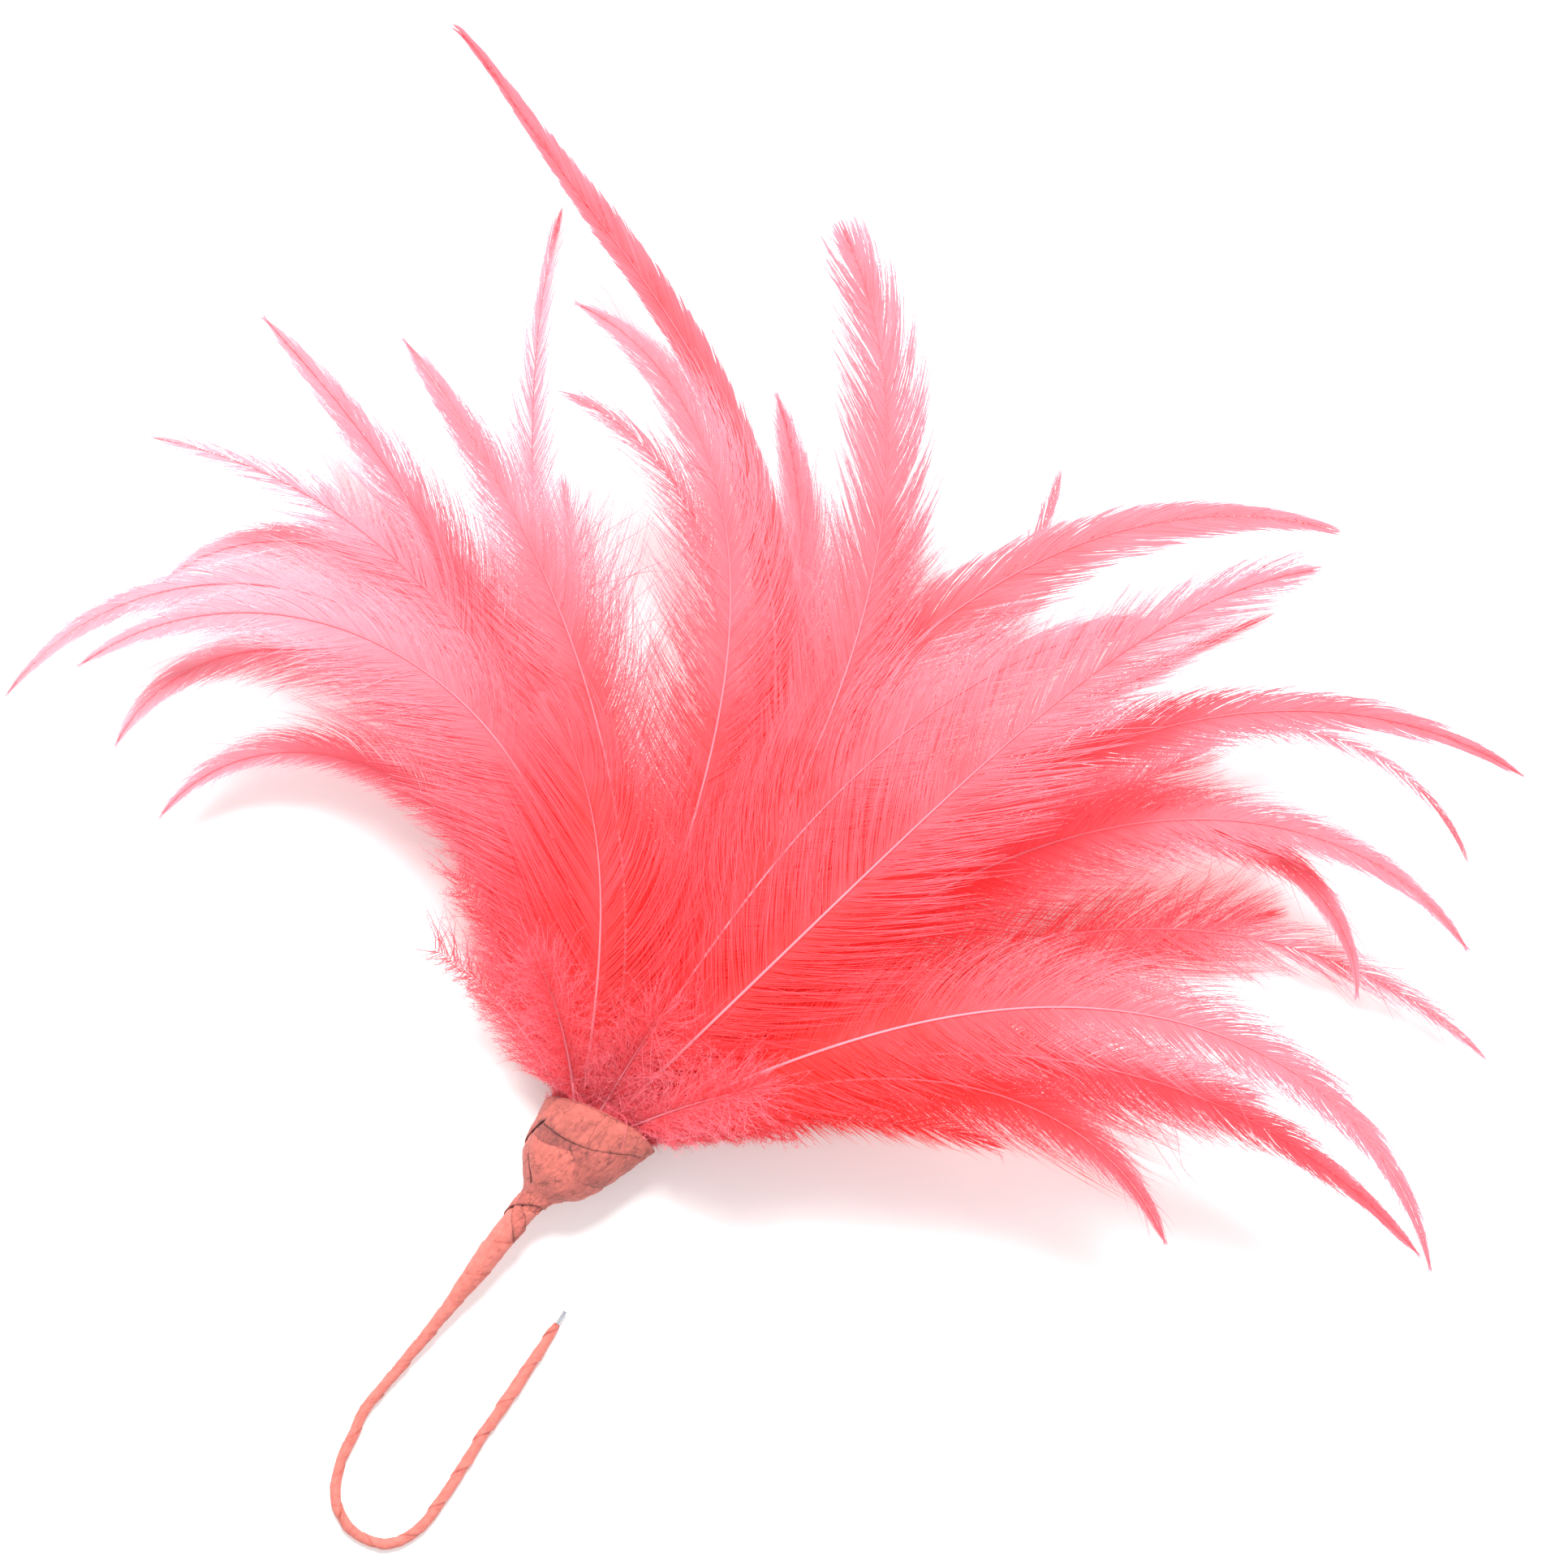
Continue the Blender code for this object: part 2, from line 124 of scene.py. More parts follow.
# name, layer, heading at the root and at the tip, curl, length, style, barb length, roll in degrees
FEATHERS = (
    ("left_hackle_1", 4, 139, 271, 1.9, 105, "hackle", 12, 10),
    ("left_hackle_2", 8, 132, 281, 1.95, 129, "hackle", 14, 10),
    ("left_hackle_3", 6, 123, 272, 1.45, 156, "hackle", 13, 15),
    ("left_hackle_4", 11, 122, 254, 1.4, 137, "hackle", 14, 10),
    ("left_hackle_5", 3, 131, 256, 2.4, 133, "hackle", 16, 0),
    ("left_hackle_6", 7, 123, 208, 1.25, 141, "wisp", 16, 0),
    ("left_hackle_7", 5, 114, 172, 0.6, 142, "hackle", 15, -10),
    ("left_hackle_8", 12, 101, 166, 0.6, 133, "hackle", 16, 15),
    ("left_hackle_9", 1, 133, 112, 5.0, 145, "wisp", 12, 0),
    ("front_curl_hackle", 14, 120, 163, 2.3, 72, "curl", 24, -20),
    ("centre_hackle_1", 10, 108, 193, 2.9, 142, "hackle", 17, 10),
    ("centre_hackle_2", 9, 107, 200, 2.8, 130, "wisp", 15, 0),
    ("tail_hackle", 6, 87, 186, 1.0, 196, "tail", 7, 0),
    ("centre_hackle_3", 1, 97, 146, 1.8, 125, "hackle", 16, 0),
    ("centre_hackle_4", 11, 95, 154, 2.2, 155, "brush", 15, 0),
    ("right_hackle_1", 3, 89, 116, 5.0, 130, "wisp", 14, 0),
    ("sickle_hackle", 8, 102, 23, 2.15, 164, "sickle", 13, -15),
    ("right_hackle_2", 14, 83, 46, 5.0, 146, "spiky", 17, 0),
    ("right_hackle_3", 13, 96, 45, 2.3, 125, "hackle", 17, -10),
    ("right_hackle_4", 10, 84, 6, 2.2, 169, "narrow", 12, 0),
    ("right_hackle_5", 4, 81, -30, 3.2, 167, "wisp", 10, 0),
    ("twisted_hackle", 0, 90, 62, 1.0, 137, "wisp", 12, 30),
    ("right_hackle_6", 7, 78, -17, 2.4, 158, "hackle", 13, -10),
    ("right_hackle_7", 5, 78, -52, 3.1, 150, "hackle", 13, 10),
    ("right_hackle_8", 2, 71, -6, 1.8, 153, "wisp", 13, 0),
    ("right_hackle_9", 13, 64, -40, 2.0, 152, "hackle", 13, -15),
    ("right_hackle_10", 8, 63, -11, 1.3, 140, "hackle", 12, 0),
    ("right_hackle_11", 10, 59, -29, 1.9, 101, "hackle", 11, 10),
    ("right_hackle_12", 5, 50, 21, 1.6, 66, "wisp", 10, 0),
    ("down_plume_1", 7, 148, 186, 1.0, 38, "down", 10, 0),
    ("down_plume_2", 5, 146, 160, 1.0, 46, "down", 13, 0),
    ("down_plume_3", 0, 139, 162, 1.0, 110, "plume", 24, 0),
    ("down_plume_4", 2, 125, 135, 1.0, 104, "plume", 24, 0),
    ("down_plume_5", 2, 97, 103, 1.0, 112, "plume", 24, 0),
    ("down_plume_6", 1, 75, 68, 1.0, 118, "plume", 24, 0),
    ("down_plume_7", 0, 60, 55, 1.0, 115, "plume", 24, 0),
    ("down_plume_8", 1, 50, 36, 1.0, 106, "plume", 20, 0),
    ("down_plume_9", 7, 48, 42, 1.0, 34, "down", 9, 0),
    ("top_tuft_1", 15, 130, 152, 1.0, 30, "tuft", 10, 0),
    ("top_tuft_2", 15, 98, 96, 1.0, 26, "tuft", 10, 0),
    ("top_tuft_3", 15, 66, 50, 1.0, 30, "tuft", 10, 0),
)

# begin: where the vane begins; gap, width: of its barbs; wide, narrow: their angle to the quill at the
# vane's base and tip; bend: how far they bend forward; tip: share of the barb length left at the tip;
# ragged: how much clumps differ; keep: share of barbs kept; right: share of the length on the right
# side; loose: spacing of the long loose barbs; taper: how soon a barb thins; uneven: how much barbs
# differ in length on the left and right sides; tone: paler or deeper; sway: how far the quill leaves
# its curve, to the left and then back to the right
STYLE_BASE = dict(begin=20, keep=1.0, right=1.0, tone=0.0, sway=0.0)
STYLES = {
    "hackle": dict(gap=0.15, width=0.16, wide=52, narrow=9, bend=31, tip=0.55, ragged=0.4,
                   keep=0.98, loose=1.1, taper=1.1, uneven=(1.3, 1.3)),
    "wisp": dict(gap=0.32, width=0.15, wide=50, narrow=8, bend=20, tip=0.55, ragged=0.9, keep=0.75,
                 loose=1.6, taper=1.3, uneven=(1.1, 1.1)),
    "tail": dict(begin=24, gap=0.17, width=0.24, wide=22, narrow=6, bend=8, tip=0.70, ragged=0.10,
                 right=1.5, loose=14.0, taper=0.4, uneven=(0.25, 0.25), tone=-0.22, sway=4.5),
    "narrow": dict(begin=22, gap=0.18, width=0.18, wide=38, narrow=8, bend=22, tip=0.66,
                   ragged=0.35, loose=2.0, taper=0.8, uneven=(0.8, 0.8), tone=-0.08),
    "sickle": dict(begin=24, gap=0.17, width=0.20, wide=33, narrow=7, bend=16, tip=0.66,
                   ragged=0.2, right=1.2, loose=3.0, taper=0.5, uneven=(0.2, 0.9), tone=-0.14),
    "brush": dict(gap=0.17, width=0.18, wide=33, narrow=15, bend=12, tip=0.86, ragged=0.8,
                  keep=0.97, loose=0.45, taper=0.7, uneven=(1.3, 0.8), tone=-0.08),
    "spiky": dict(gap=0.22, width=0.19, wide=46, narrow=12, bend=12, tip=0.62, ragged=0.9,
                  keep=0.95, loose=0.8, taper=1.1, uneven=(1.3, 1.3)),
    "curl": dict(begin=14, gap=0.28, width=0.20, wide=40, narrow=12, bend=26, tip=0.70, ragged=0.4,
                 loose=2.0, taper=0.9, uneven=(0.6, 0.6)),
    "plume": dict(begin=14, gap=0.36, width=0.15, wide=54, narrow=16, bend=16, tip=0.60,
                  ragged=1.0, keep=0.92, loose=1.6, taper=1.3, uneven=(1.0, 1.0)),
}
# down and tufts have soft barbs only
SOFT_BEGIN = 5.0
SOFT_STYLES = {
    "down": dict(gap=0.32, barbules=20),
    "tuft": dict(gap=0.09, barbules=14, stand=0.42, toss=0.28, pale=0.18),
}

# how far round the spray reaches, in degrees at each distance from the root, on its right and left
EDGE_REACH = (0, 20, 31, 37, 50, 63, 73, 80, 90)
EDGE_RIGHT = (40, 47, 47, 47, 43, 40, 38, 34, 26)
EDGE_LEFT = (166, 161, 161, 151, 150, 156, 162, 170, 188)
EDGE_SLACK = 4.0
# the lip of the paper knot, which the down doesn't lie over
LIP_PLACE = 8.6
LIP_ACROSS = 7.9
LIP_HIGH = 6.0


def layer_height(layer, distance):
    """Height above the floor of a layer of feathers at a distance from the root."""
    start = ROOT_Z + (layer - (LAYERS - 1) / 2) * LAYER_STEP
    top = LAYER_TOP_FIRST + LAYER_TOP_STEP * layer + LAYER_TOP_GROWTH * layer**2
    rise = 1 - np.exp(-np.maximum(0.0, distance - RISE_START) / RISE_LENGTH)
    droop = 1 - DROOP * (distance / DROOP_REACH) ** 2
    return start + (top - start) * rise * droop


def unit(vectors):
    return vectors / np.maximum(np.linalg.norm(vectors, axis=-1, keepdims=True), 1e-9)


class Midline:
    """A feather's quill line with a side and a normal direction at each place along it."""

    STEP = 0.5
    PAST = 30.0

    def __init__(self, layer, start, end, curl, length, roll, sway=0.0):
        self.length = length
        self.place = np.arange(-QUILL_BUTT, length + self.PAST, self.STEP)
        middle = self.place[:-1] + self.STEP / 2
        share = np.clip(middle / TURN_IN, 0, 1)
        inner = STRAIGHT + (start - STRAIGHT) * share**2 * (3 - 2 * share)
        along = np.clip((middle - TURN_IN) / (length - TURN_IN), 0, 1.05)
        turn = np.radians(np.where(middle < TURN_IN, inner, start + (end - start) * along**curl))
        x = QUILL_SPREAD * (STRAIGHT - start) + np.append(0, np.cumsum(np.cos(turn))) * self.STEP
        y = -QUILL_BUTT + np.append(0, np.cumsum(np.sin(turn))) * self.STEP
        turn = np.append(turn, turn[-1])
        left = np.stack([-np.sin(turn), np.cos(turn)], 1)
        swayed = sway * np.sin(SWAY_WAVES * math.tau * np.clip(self.place / length, 0, 1) ** 4)
        x = x + left[:, 0] * swayed
        y = y + left[:, 1] * swayed
        distance = np.hypot(x, y)
        height = layer_height(layer, distance)
        self.point = np.stack([x, y, height], 1)
        self.ahead = unit(np.gradient(self.point, axis=0))
        slope = layer_height(layer, distance + 0.5) - layer_height(layer, distance - 0.5)
        outward = self.point[:, :2] / np.maximum(distance, 1e-6)[:, None]
        rise = slope * (left * outward).sum(1)
        side = np.column_stack([left, rise])
        side = unit(side - self.ahead * (side * self.ahead).sum(1)[:, None])
        normal = np.cross(self.ahead, side)
        grow = np.clip(self.place / length, 0, 1)
        tilt = np.radians(roll) * (0.3 + grow)
        self.side = side * np.cos(tilt)[:, None] + normal * np.sin(tilt)[:, None]
        self.normal = normal * np.cos(tilt)[:, None] - side * np.sin(tilt)[:, None]

    def at(self, values, places):
        return np.stack([np.interp(places, self.place, values[:, i]) for i in range(3)], -1)

    def surface(self, places, across, up):
        """Points at a place along, a distance across and a height off the vane."""
        base = self.at(self.point, places)
        side = self.at(self.side, places)
        normal = self.at(self.normal, places)
        return base + side * across[..., None] + normal * up[..., None]


def above_floor(points, low=FLOOR_CLEARANCE, soft=0.8):
    """Bend points that would go through the floor so that they lie on it."""
    height = points[..., 2]
    eased = low + soft * np.exp(np.minimum(0.0, height - low - soft) / soft)
    points[..., 2] = np.where(height < low + soft, eased, height)
    return points


def tube_faces(rows, sides):
    """Faces round a tube of rings that close on themselves."""
    corner = np.arange(sides)
    beside = (corner + 1) % sides
    quad = np.stack([corner, beside, beside + sides, corner + sides], 1)
    return ((np.arange(rows - 1) * sides)[:, None, None] + quad[None]).reshape(-1, 4)


def rings(centre, side, normal, turn, radius):
    """Points round each place of a line, at a radius from it."""
    across = side[:, None] * np.cos(turn)[None, :, None]
    up = normal[:, None] * np.sin(turn)[None, :, None]
    return centre[:, None] + (across + up) * radius[..., None]


def new_object(name, data):
    thing = bpy.data.objects.new(name, data)
    bpy.context.scene.collection.objects.link(thing)
    return thing


class Bundle:
    """Vertices, faces and tones collected for one piece."""

    def __init__(self):
        self.points = []
        self.tones = []
        self.faces = []
        self.count = 0

    def add(self, points, tones, faces):
        self.points.append(points.reshape(-1, 3))
        self.tones.append(np.broadcast_to(tones, points.shape[:-1]).reshape(-1))
        self.faces.extend((faces + self.count).tolist())
        self.count += len(self.points[-1])

    def ribbons(self, line, across, width, tones):
        """Strips along lines of points, with a width at each point."""
        rows, steps = line.shape[:2]
        edges = np.stack([line - across * width[..., None] / 2, line + across * width[..., None] / 2], 2)
        corner = np.arange(steps - 1) * 2
        quad = np.stack([corner, corner + 1, corner + 3, corner + 2], 1)
        faces = (np.arange(rows) * steps * 2)[:, None, None] + quad[None]
        self.add(above_floor(edges), tones[..., None], faces.reshape(-1, 4))

    def spikes(self, base, ahead, out, reach, thick, tones):
        """Thin triangles standing off a line, for barbules."""
        tip = base + out * reach[..., None]
        points = np.stack([base - ahead * thick, base + ahead * thick, tip], -2).reshape(-1, 3, 3)
        faces = np.arange(len(points) * 3).reshape(-1, 3)
        self.add(above_floor(points), tones[:, None], faces)

    def tube(self, line, side, normal, radius, tones, sides=6):
        """A round rod along a line, closed at both ends."""
        turn = np.arange(sides) * math.tau / sides
        ring = above_floor(rings(line, side, normal, turn, radius[:, None]))
        steps = len(line)
        corner = np.arange(sides)
        start = self.count
        self.add(ring, tones, tube_faces(steps, sides))
        self.faces.append((start + corner[::-1]).tolist())
        self.faces.append((start + (steps - 1) * sides + corner).tolist())

    def piece(self, name, material):
        mesh = bpy.data.meshes.new(name)
        points = (np.concatenate(self.points) + ROOT) * MM
        mesh.from_pydata(points.tolist(), [], self.faces)
        tone = mesh.attributes.new("tone", "FLOAT", "POINT")
        tone.data.foreach_set("value", np.concatenate(self.tones).astype(np.float32))
        mesh.shade_smooth()
        mesh.materials.append(material)
        return new_object(name, mesh)


def clumps(count, gap, rng):
    """A clump number for each barb, and the index of the barb at the middle of its clump."""
    sizes = rng.integers(int(CLUMP_LEAST / gap), int(CLUMP_MOST / gap), count)
    edges = np.cumsum(sizes)
    group = np.searchsorted(edges, np.arange(count), side="right")
    first = np.searchsorted(group, group, side="left")
    last = np.searchsorted(group, group, side="right") - 1
    return group, (first + last) // 2


def barb_lines(line, side, roots, angle, bend, reach, lift, steps, wave=0.0):
    """Points along each barb of one side, from its root on the quill, with its place along the vane."""
    share = np.linspace(0, 1, steps + 1)
    heading = np.radians(angle[:, None] - bend * share[None] ** 1.3)
    step = reach[:, None] / steps
    forward = np.cumsum(np.cos(heading) * step, 1) - np.cos(heading) * step
    outward = np.cumsum(np.sin(heading) * step, 1) - np.sin(heading) * step
    places = roots[:, None] + forward + wave
    across = side * (0.1 + outward)
    cup = CUPPING * across**2 + lift[:, None] * outward
    return line.surface(places, across, cup), places, share


def heading_of(points):
    """How far round the spray points lie, in degrees, with 90 straight ahead and more to the left."""
    return 90 + np.degrees(np.arctan2(-points[..., 0], points[..., 1]))


def trimmed(points, rng):
    """Barbs cut short where they would stand out past the sides of the spray."""
    distance = np.hypot(points[..., 0], points[..., 1])
    around = heading_of(points)
    left = np.maximum(np.interp(distance, EDGE_REACH, EDGE_LEFT), around[:, :1] + EDGE_SLACK)
    right = np.minimum(np.interp(distance, EDGE_REACH, EDGE_RIGHT), around[:, :1] - EDGE_SLACK)
    out = ((around > left) | (around < right)) & (distance < EDGE_REACH[-1])
    behind = points[..., 1] < LIP_PLACE + MOUTH_SLANT * points[..., 0]
    out |= behind & (np.hypot(points[..., 0] / LIP_ACROSS, (points[..., 2] - ROOT_Z) / LIP_HIGH) > 1)
    inside = np.where(out.any(1), out.argmax(1) / (points.shape[1] - 1), 1.0)
    cut = np.clip(inside * rng.uniform(0.75, 1.2, len(points)), 0.1, 1.0)
    return points[:, :1] + (points - points[:, :1]) * cut[:, None, None]


def tone_of(points, share, shade, rng, own=0.0):
    """Deep near the root, paler outwards and towards the ends of the barbs."""
    distance = np.hypot(points[..., 0], points[..., 1])
    each = rng.normal(0, EACH_TONE, (len(points), 1))
    tone = np.interp(distance, TONE_REACH, TONE_LEVEL) + TIP_TONE * share[None] ** 1.5 + shade + each
    tone = tone + max(own, 0.0) + min(own, 0.0) * np.interp(distance, DEEP_REACH, DEEP_SHARE)
    sideways = np.interp(heading_of(points), (PALE_FROM, PALE_TO), (0, 1))
    outwards = np.interp(distance, (PALE_NEAR, PALE_FAR), (0, 1))
    return np.clip(tone + PALE_MORE * sideways * outwards, 0, 1)


def add_barbs(bundle, line, points, places, width, tone):
    ahead = unit(np.gradient(points, axis=1))
    flat = unit(np.cross(line.at(line.normal, places), ahead))
    bundle.ribbons(points, flat, width, tone)


def vane_barbs(bundle, line, side, look, barb, rng):
    """The close barbs of one side of a vane, in clumps that part a little from each other."""
    roots = np.arange(look["begin"], line.length - 1.0, look["gap"])
    roots = roots + rng.normal(0, look["gap"] * 0.12, len(roots))
    group, middle = clumps(len(roots), look["gap"], rng)
    along = (roots - look["begin"]) / (line.length - look["begin"])
    ragged = look["ragged"]
    wide = look["wide"]
    narrow = look["narrow"]
    middling = MIDDLE_WIDE * wide + (1 - MIDDLE_WIDE) * narrow
    angle = np.interp(along, ANGLE_AT, [wide + 6, wide, middling, narrow + 12, narrow + 3, 4])
    angle = angle + rng.normal(0, CLUMP_ANGLE * ragged, group.max() + 1)[group]
    angle = angle + rng.normal(0, 0.5 + 0.7 * ragged, len(roots))
    reach = barb * np.interp(along, REACH_AT, [0.85, 1.25, 1.30, look["tip"] + 0.3, look["tip"]])
    reach = reach * (look["right"] if side < 0 else 1.0)
    reach = reach * (1 + rng.normal(0, CLUMP_REACH * ragged, group.max() + 1)[group])
    uneven = look["uneven"][0 if side > 0 else 1]
    reach = reach * (1 + uneven * rng.triangular(-0.38, 0.12, 0.22, len(roots)))
    reach = np.minimum(reach, (line.length - roots) * rng.uniform(0.95, 1.15, len(roots)) + 1.0)
    lift = rng.normal(0, CLUMP_LIFT * ragged, group.max() + 1)[group]
    lift = lift + rng.normal(0, 0.012, len(roots))
    points, places, share = barb_lines(line, side, roots, angle, look["bend"], reach, lift, BARB_STEPS)
    pull = (CLUMP_PULL * ragged * share**2)[None, :, None]
    points = trimmed(points * (1 - pull) + points[middle] * pull, rng)
    kept = rng.random(len(roots)) < look["keep"]
    points, places = points[kept], places[kept]
    thin = (0.14 + 0.86 * (1 - share) ** look["taper"])[None]
    width = look["width"] * thin * (1 + rng.normal(0, 0.12, (len(points), 1)))
    tone = tone_of(points, share, look["tone"], rng, look["own"])
    add_barbs(bundle, line, points, places, width, tone)


def loose_barbs(bundle, line, side, look, barb, rng):
    """Sparse long hairs that stand out beyond the vane and soften its edge."""
    roots = np.arange(look["begin"] - 4.0, line.length - 4.0, look["loose"])
    roots = roots + rng.normal(0, look["loose"] * 0.4, len(roots))
    count = len(roots)
    along = np.clip((roots - look["begin"]) / (line.length - look["begin"]), 0, 1)
    angle = np.interp(along, [0, 0.4, 1], [look["wide"] + 8, look["wide"] * 0.8, look["narrow"] + 10])
    angle = angle + rng.normal(0, 6.0, count)
    fade = np.interp(along, [0, 0.55, 0.85, 1], [1.0, 1.0, 0.6, 0.35])
    reach = barb * rng.uniform(*LOOSE_REACH, count) * fade
    reach = np.minimum(reach, (line.length - roots) * 1.05 + 1.0)
    lift = rng.normal(0.02, 0.07, count)
    phase = rng.uniform(0, math.tau, (count, 1))
    share = np.linspace(0, 1, BARB_STEPS + 1)
    wave = LOOSE_WAVE * share[None] * np.sin(phase + 5.0 * share[None])
    bend = look["bend"] * 0.8
    points, places, share = barb_lines(line, side, roots, angle, bend, reach, lift, BARB_STEPS, wave)
    points = trimmed(points, rng)
    width = LOOSE_WIDTH * (0.2 + 0.8 * (1 - share))[None]
    tone = tone_of(points, share, look["tone"] + LOOSE_TONE, rng, look["own"])
    add_barbs(bundle, line, points, places, width, tone)


def downy_barbs(bundle, line, side, begin, end, barb, rng, gap, barbules=18, stand=0.05, toss=0.20,
                pale=0.12):
    """Soft wavy barbs low on a feather, each with fine barbules, which may stand up off the vane."""
    steps = DOWN_STEPS
    roots = np.arange(begin, end, gap)
    count = len(roots)
    roots = roots + rng.normal(0, 0.15, count)
    share = np.linspace(0, 1, steps + 1)
    angle = rng.normal(DOWN_ANGLE, 14 + 30 * stand, count)
    bend = rng.normal(12, 22, (count, 1))
    reach = barb * rng.uniform(*DOWN_REACH, count)
    phase = rng.uniform(0, math.tau, (count, 1))
    waves = rng.uniform(0.8, 1.8, (count, 1))
    wave = DOWN_WAVE * share[None] * np.sin(phase + waves * math.tau * share[None])
    lift = rng.normal(stand, toss, count)
    points, places, share = barb_lines(line, side, roots, angle, bend, reach, lift, steps, wave)
    points[..., 2] += 0.5 * wave
    points = trimmed(points, rng)
    tone = np.clip(tone_of(points, share, pale, rng) + rng.normal(0, 0.07, (count, 1)), 0, 1)
    width = DOWN_WIDTH * (1 - 0.8 * share)[None]
    add_barbs(bundle, line, points, places, width, tone)
    ahead = unit(np.gradient(points, axis=1))
    where = rng.uniform(0.05, 0.98, (count, barbules)) * steps
    low = np.minimum(where.astype(int), steps - 1)
    part = (where - low)[..., None]
    pick = np.arange(count)[:, None]
    base = points[pick, low] * (1 - part) + points[pick, low + 1] * part
    along = ahead[pick, low]
    out = unit(rng.normal(0, 1, base.shape) + along * 0.8)
    length = rng.uniform(*BARBULE_LENGTHS, where.shape) * (1.1 - 0.5 * where / steps)
    fuzz = np.clip(tone[pick, low] + rng.normal(0.03, 0.06, where.shape), 0, 1)
    flat = [values.reshape(-1, 3) for values in (base, along, out)]
    bundle.spikes(*flat, length.reshape(-1), BARBULE_HALF, fuzz.reshape(-1))


def feather(index, name, layer, start, end, curl, length, style, barb, roll, material):
    """One whole feather: quill, vane and the down at its base."""
    rng = np.random.default_rng(FIRST_SEED + index)
    look = STYLE_BASE | STYLES.get(style, {})
    line = Midline(layer, start, end, curl, length, roll, look["sway"])
    bundle = Bundle()
    look["own"] = rng.uniform(-0.06, 0.06) + TONE_SIDE * (start - MIDDLE_HEADING)
    places = np.append(np.arange(-QUILL_BUTT, length, QUILL_STEP), length)
    radius = np.interp(places / length, QUILL_RADIUS_AT, QUILL_RADIUS)
    points = line.at(line.point, places) + line.at(line.normal, places) * QUILL_LIFT
    pale = np.interp(places / length, QUILL_TONE_AT, QUILL_TONE)[:, None]
    bundle.tube(points, line.at(line.side, places), line.at(line.normal, places), radius, pale)
    for side in (-1, 1):
        if style in SOFT_STYLES:
            downy_barbs(bundle, line, side, SOFT_BEGIN, length, barb, rng, **SOFT_STYLES[style])
            continue
        vane_barbs(bundle, line, side, look, barb, rng)
        loose_barbs(bundle, line, side, look, barb, rng)
        begin = look["begin"]
        soft_barb = barb * DOWN_SHARE
        low_barb = min(DOWN_LONGEST, soft_barb)
        downy_barbs(bundle, line, side, DOWN_FIRST, begin + DOWN_PAST, low_barb, rng, gap=DOWN_GAP)
        if style == "plume":
            end_place = length * PLUME_DOWN_END
            downy_barbs(bundle, line, side, begin, end_place, soft_barb, rng, gap=PLUME_DOWN_GAP)
    piece = bundle.piece(name + "_barbs", material)
    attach(piece, "spray")
    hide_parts(name)


# ---------------------------------------------------------------- folded paper knot
# share of the knot's length, place on the axis, side of the axis, half width, half height, height
KNOT_SECTIONS = (
    (-0.40, -16.5, -0.80, 1.85, 1.85, 6.40), (-0.20, -11.5, -0.68, 1.95, 1.95, 7.13),
    (0.0, -8.4, -0.65, 2.05, 2.1, 7.60), (0.06, -7.4, -0.78, 2.55, 2.6, 7.70),
    (0.13, -6.2, -0.80, 3.60, 3.7, 7.85), (0.20, -5.0, -0.78, 4.70, 4.8, 7.90),
    (0.27, -3.8, -0.68, 5.60, 5.6, 7.90), (0.34, -2.4, -0.55, 6.15, 6.1, 7.90),
    (0.40, -1.0, -0.40, 6.50, 6.4, 7.90), (0.60, 3.0, -0.16, 7.40, 6.9, 7.90),
    (0.80, 6.0, 0.02, 8.10, 6.9, 7.90), (1.00, 8.0, 0.20, 8.60, 6.8, 7.90),
    (1.10, 8.6, 0.29, 8.80, 6.8, 7.90),
)
SQUARENESS = 0.8            # 1 is a round knot, less is squarer
MOUTH_SLANT = 0.2
MOUTH_ARCH = 1.6
PAPER = 0.16
CUP_TURNS = 180
CUP_ROWS = 110
CUP_LINING = 0.35           # share of the knot's length that the paper turns in at the mouth
CREASE_SHADE_REACH = 0.20         # how far in from a panel's edge the painted shade along its crease fades
# how dark the painted shade along each panel's creased edges is
CREASE_SHADE_TONE = 0.55
# how much darker the sunken pleats are: painted shade in their hollows
PLEAT_SHADE_TONE = 0.30
MOTTLE_TONE = 0.20
RUMPLE = 0.20
FINE_RUMPLE = 0.045
PLEAT_DEPTH = 0.10
CUP_LAP = 0.22              # how far one turn of the cup's strip stands over the next
CUP_SINK = 0.15
PANEL_ROWS = 45
LINING_ROWS = 16
KNOT_FLOOR = 0.05           # the knot's underside rests this far over the floor
KNOT_SOFT = 0.5

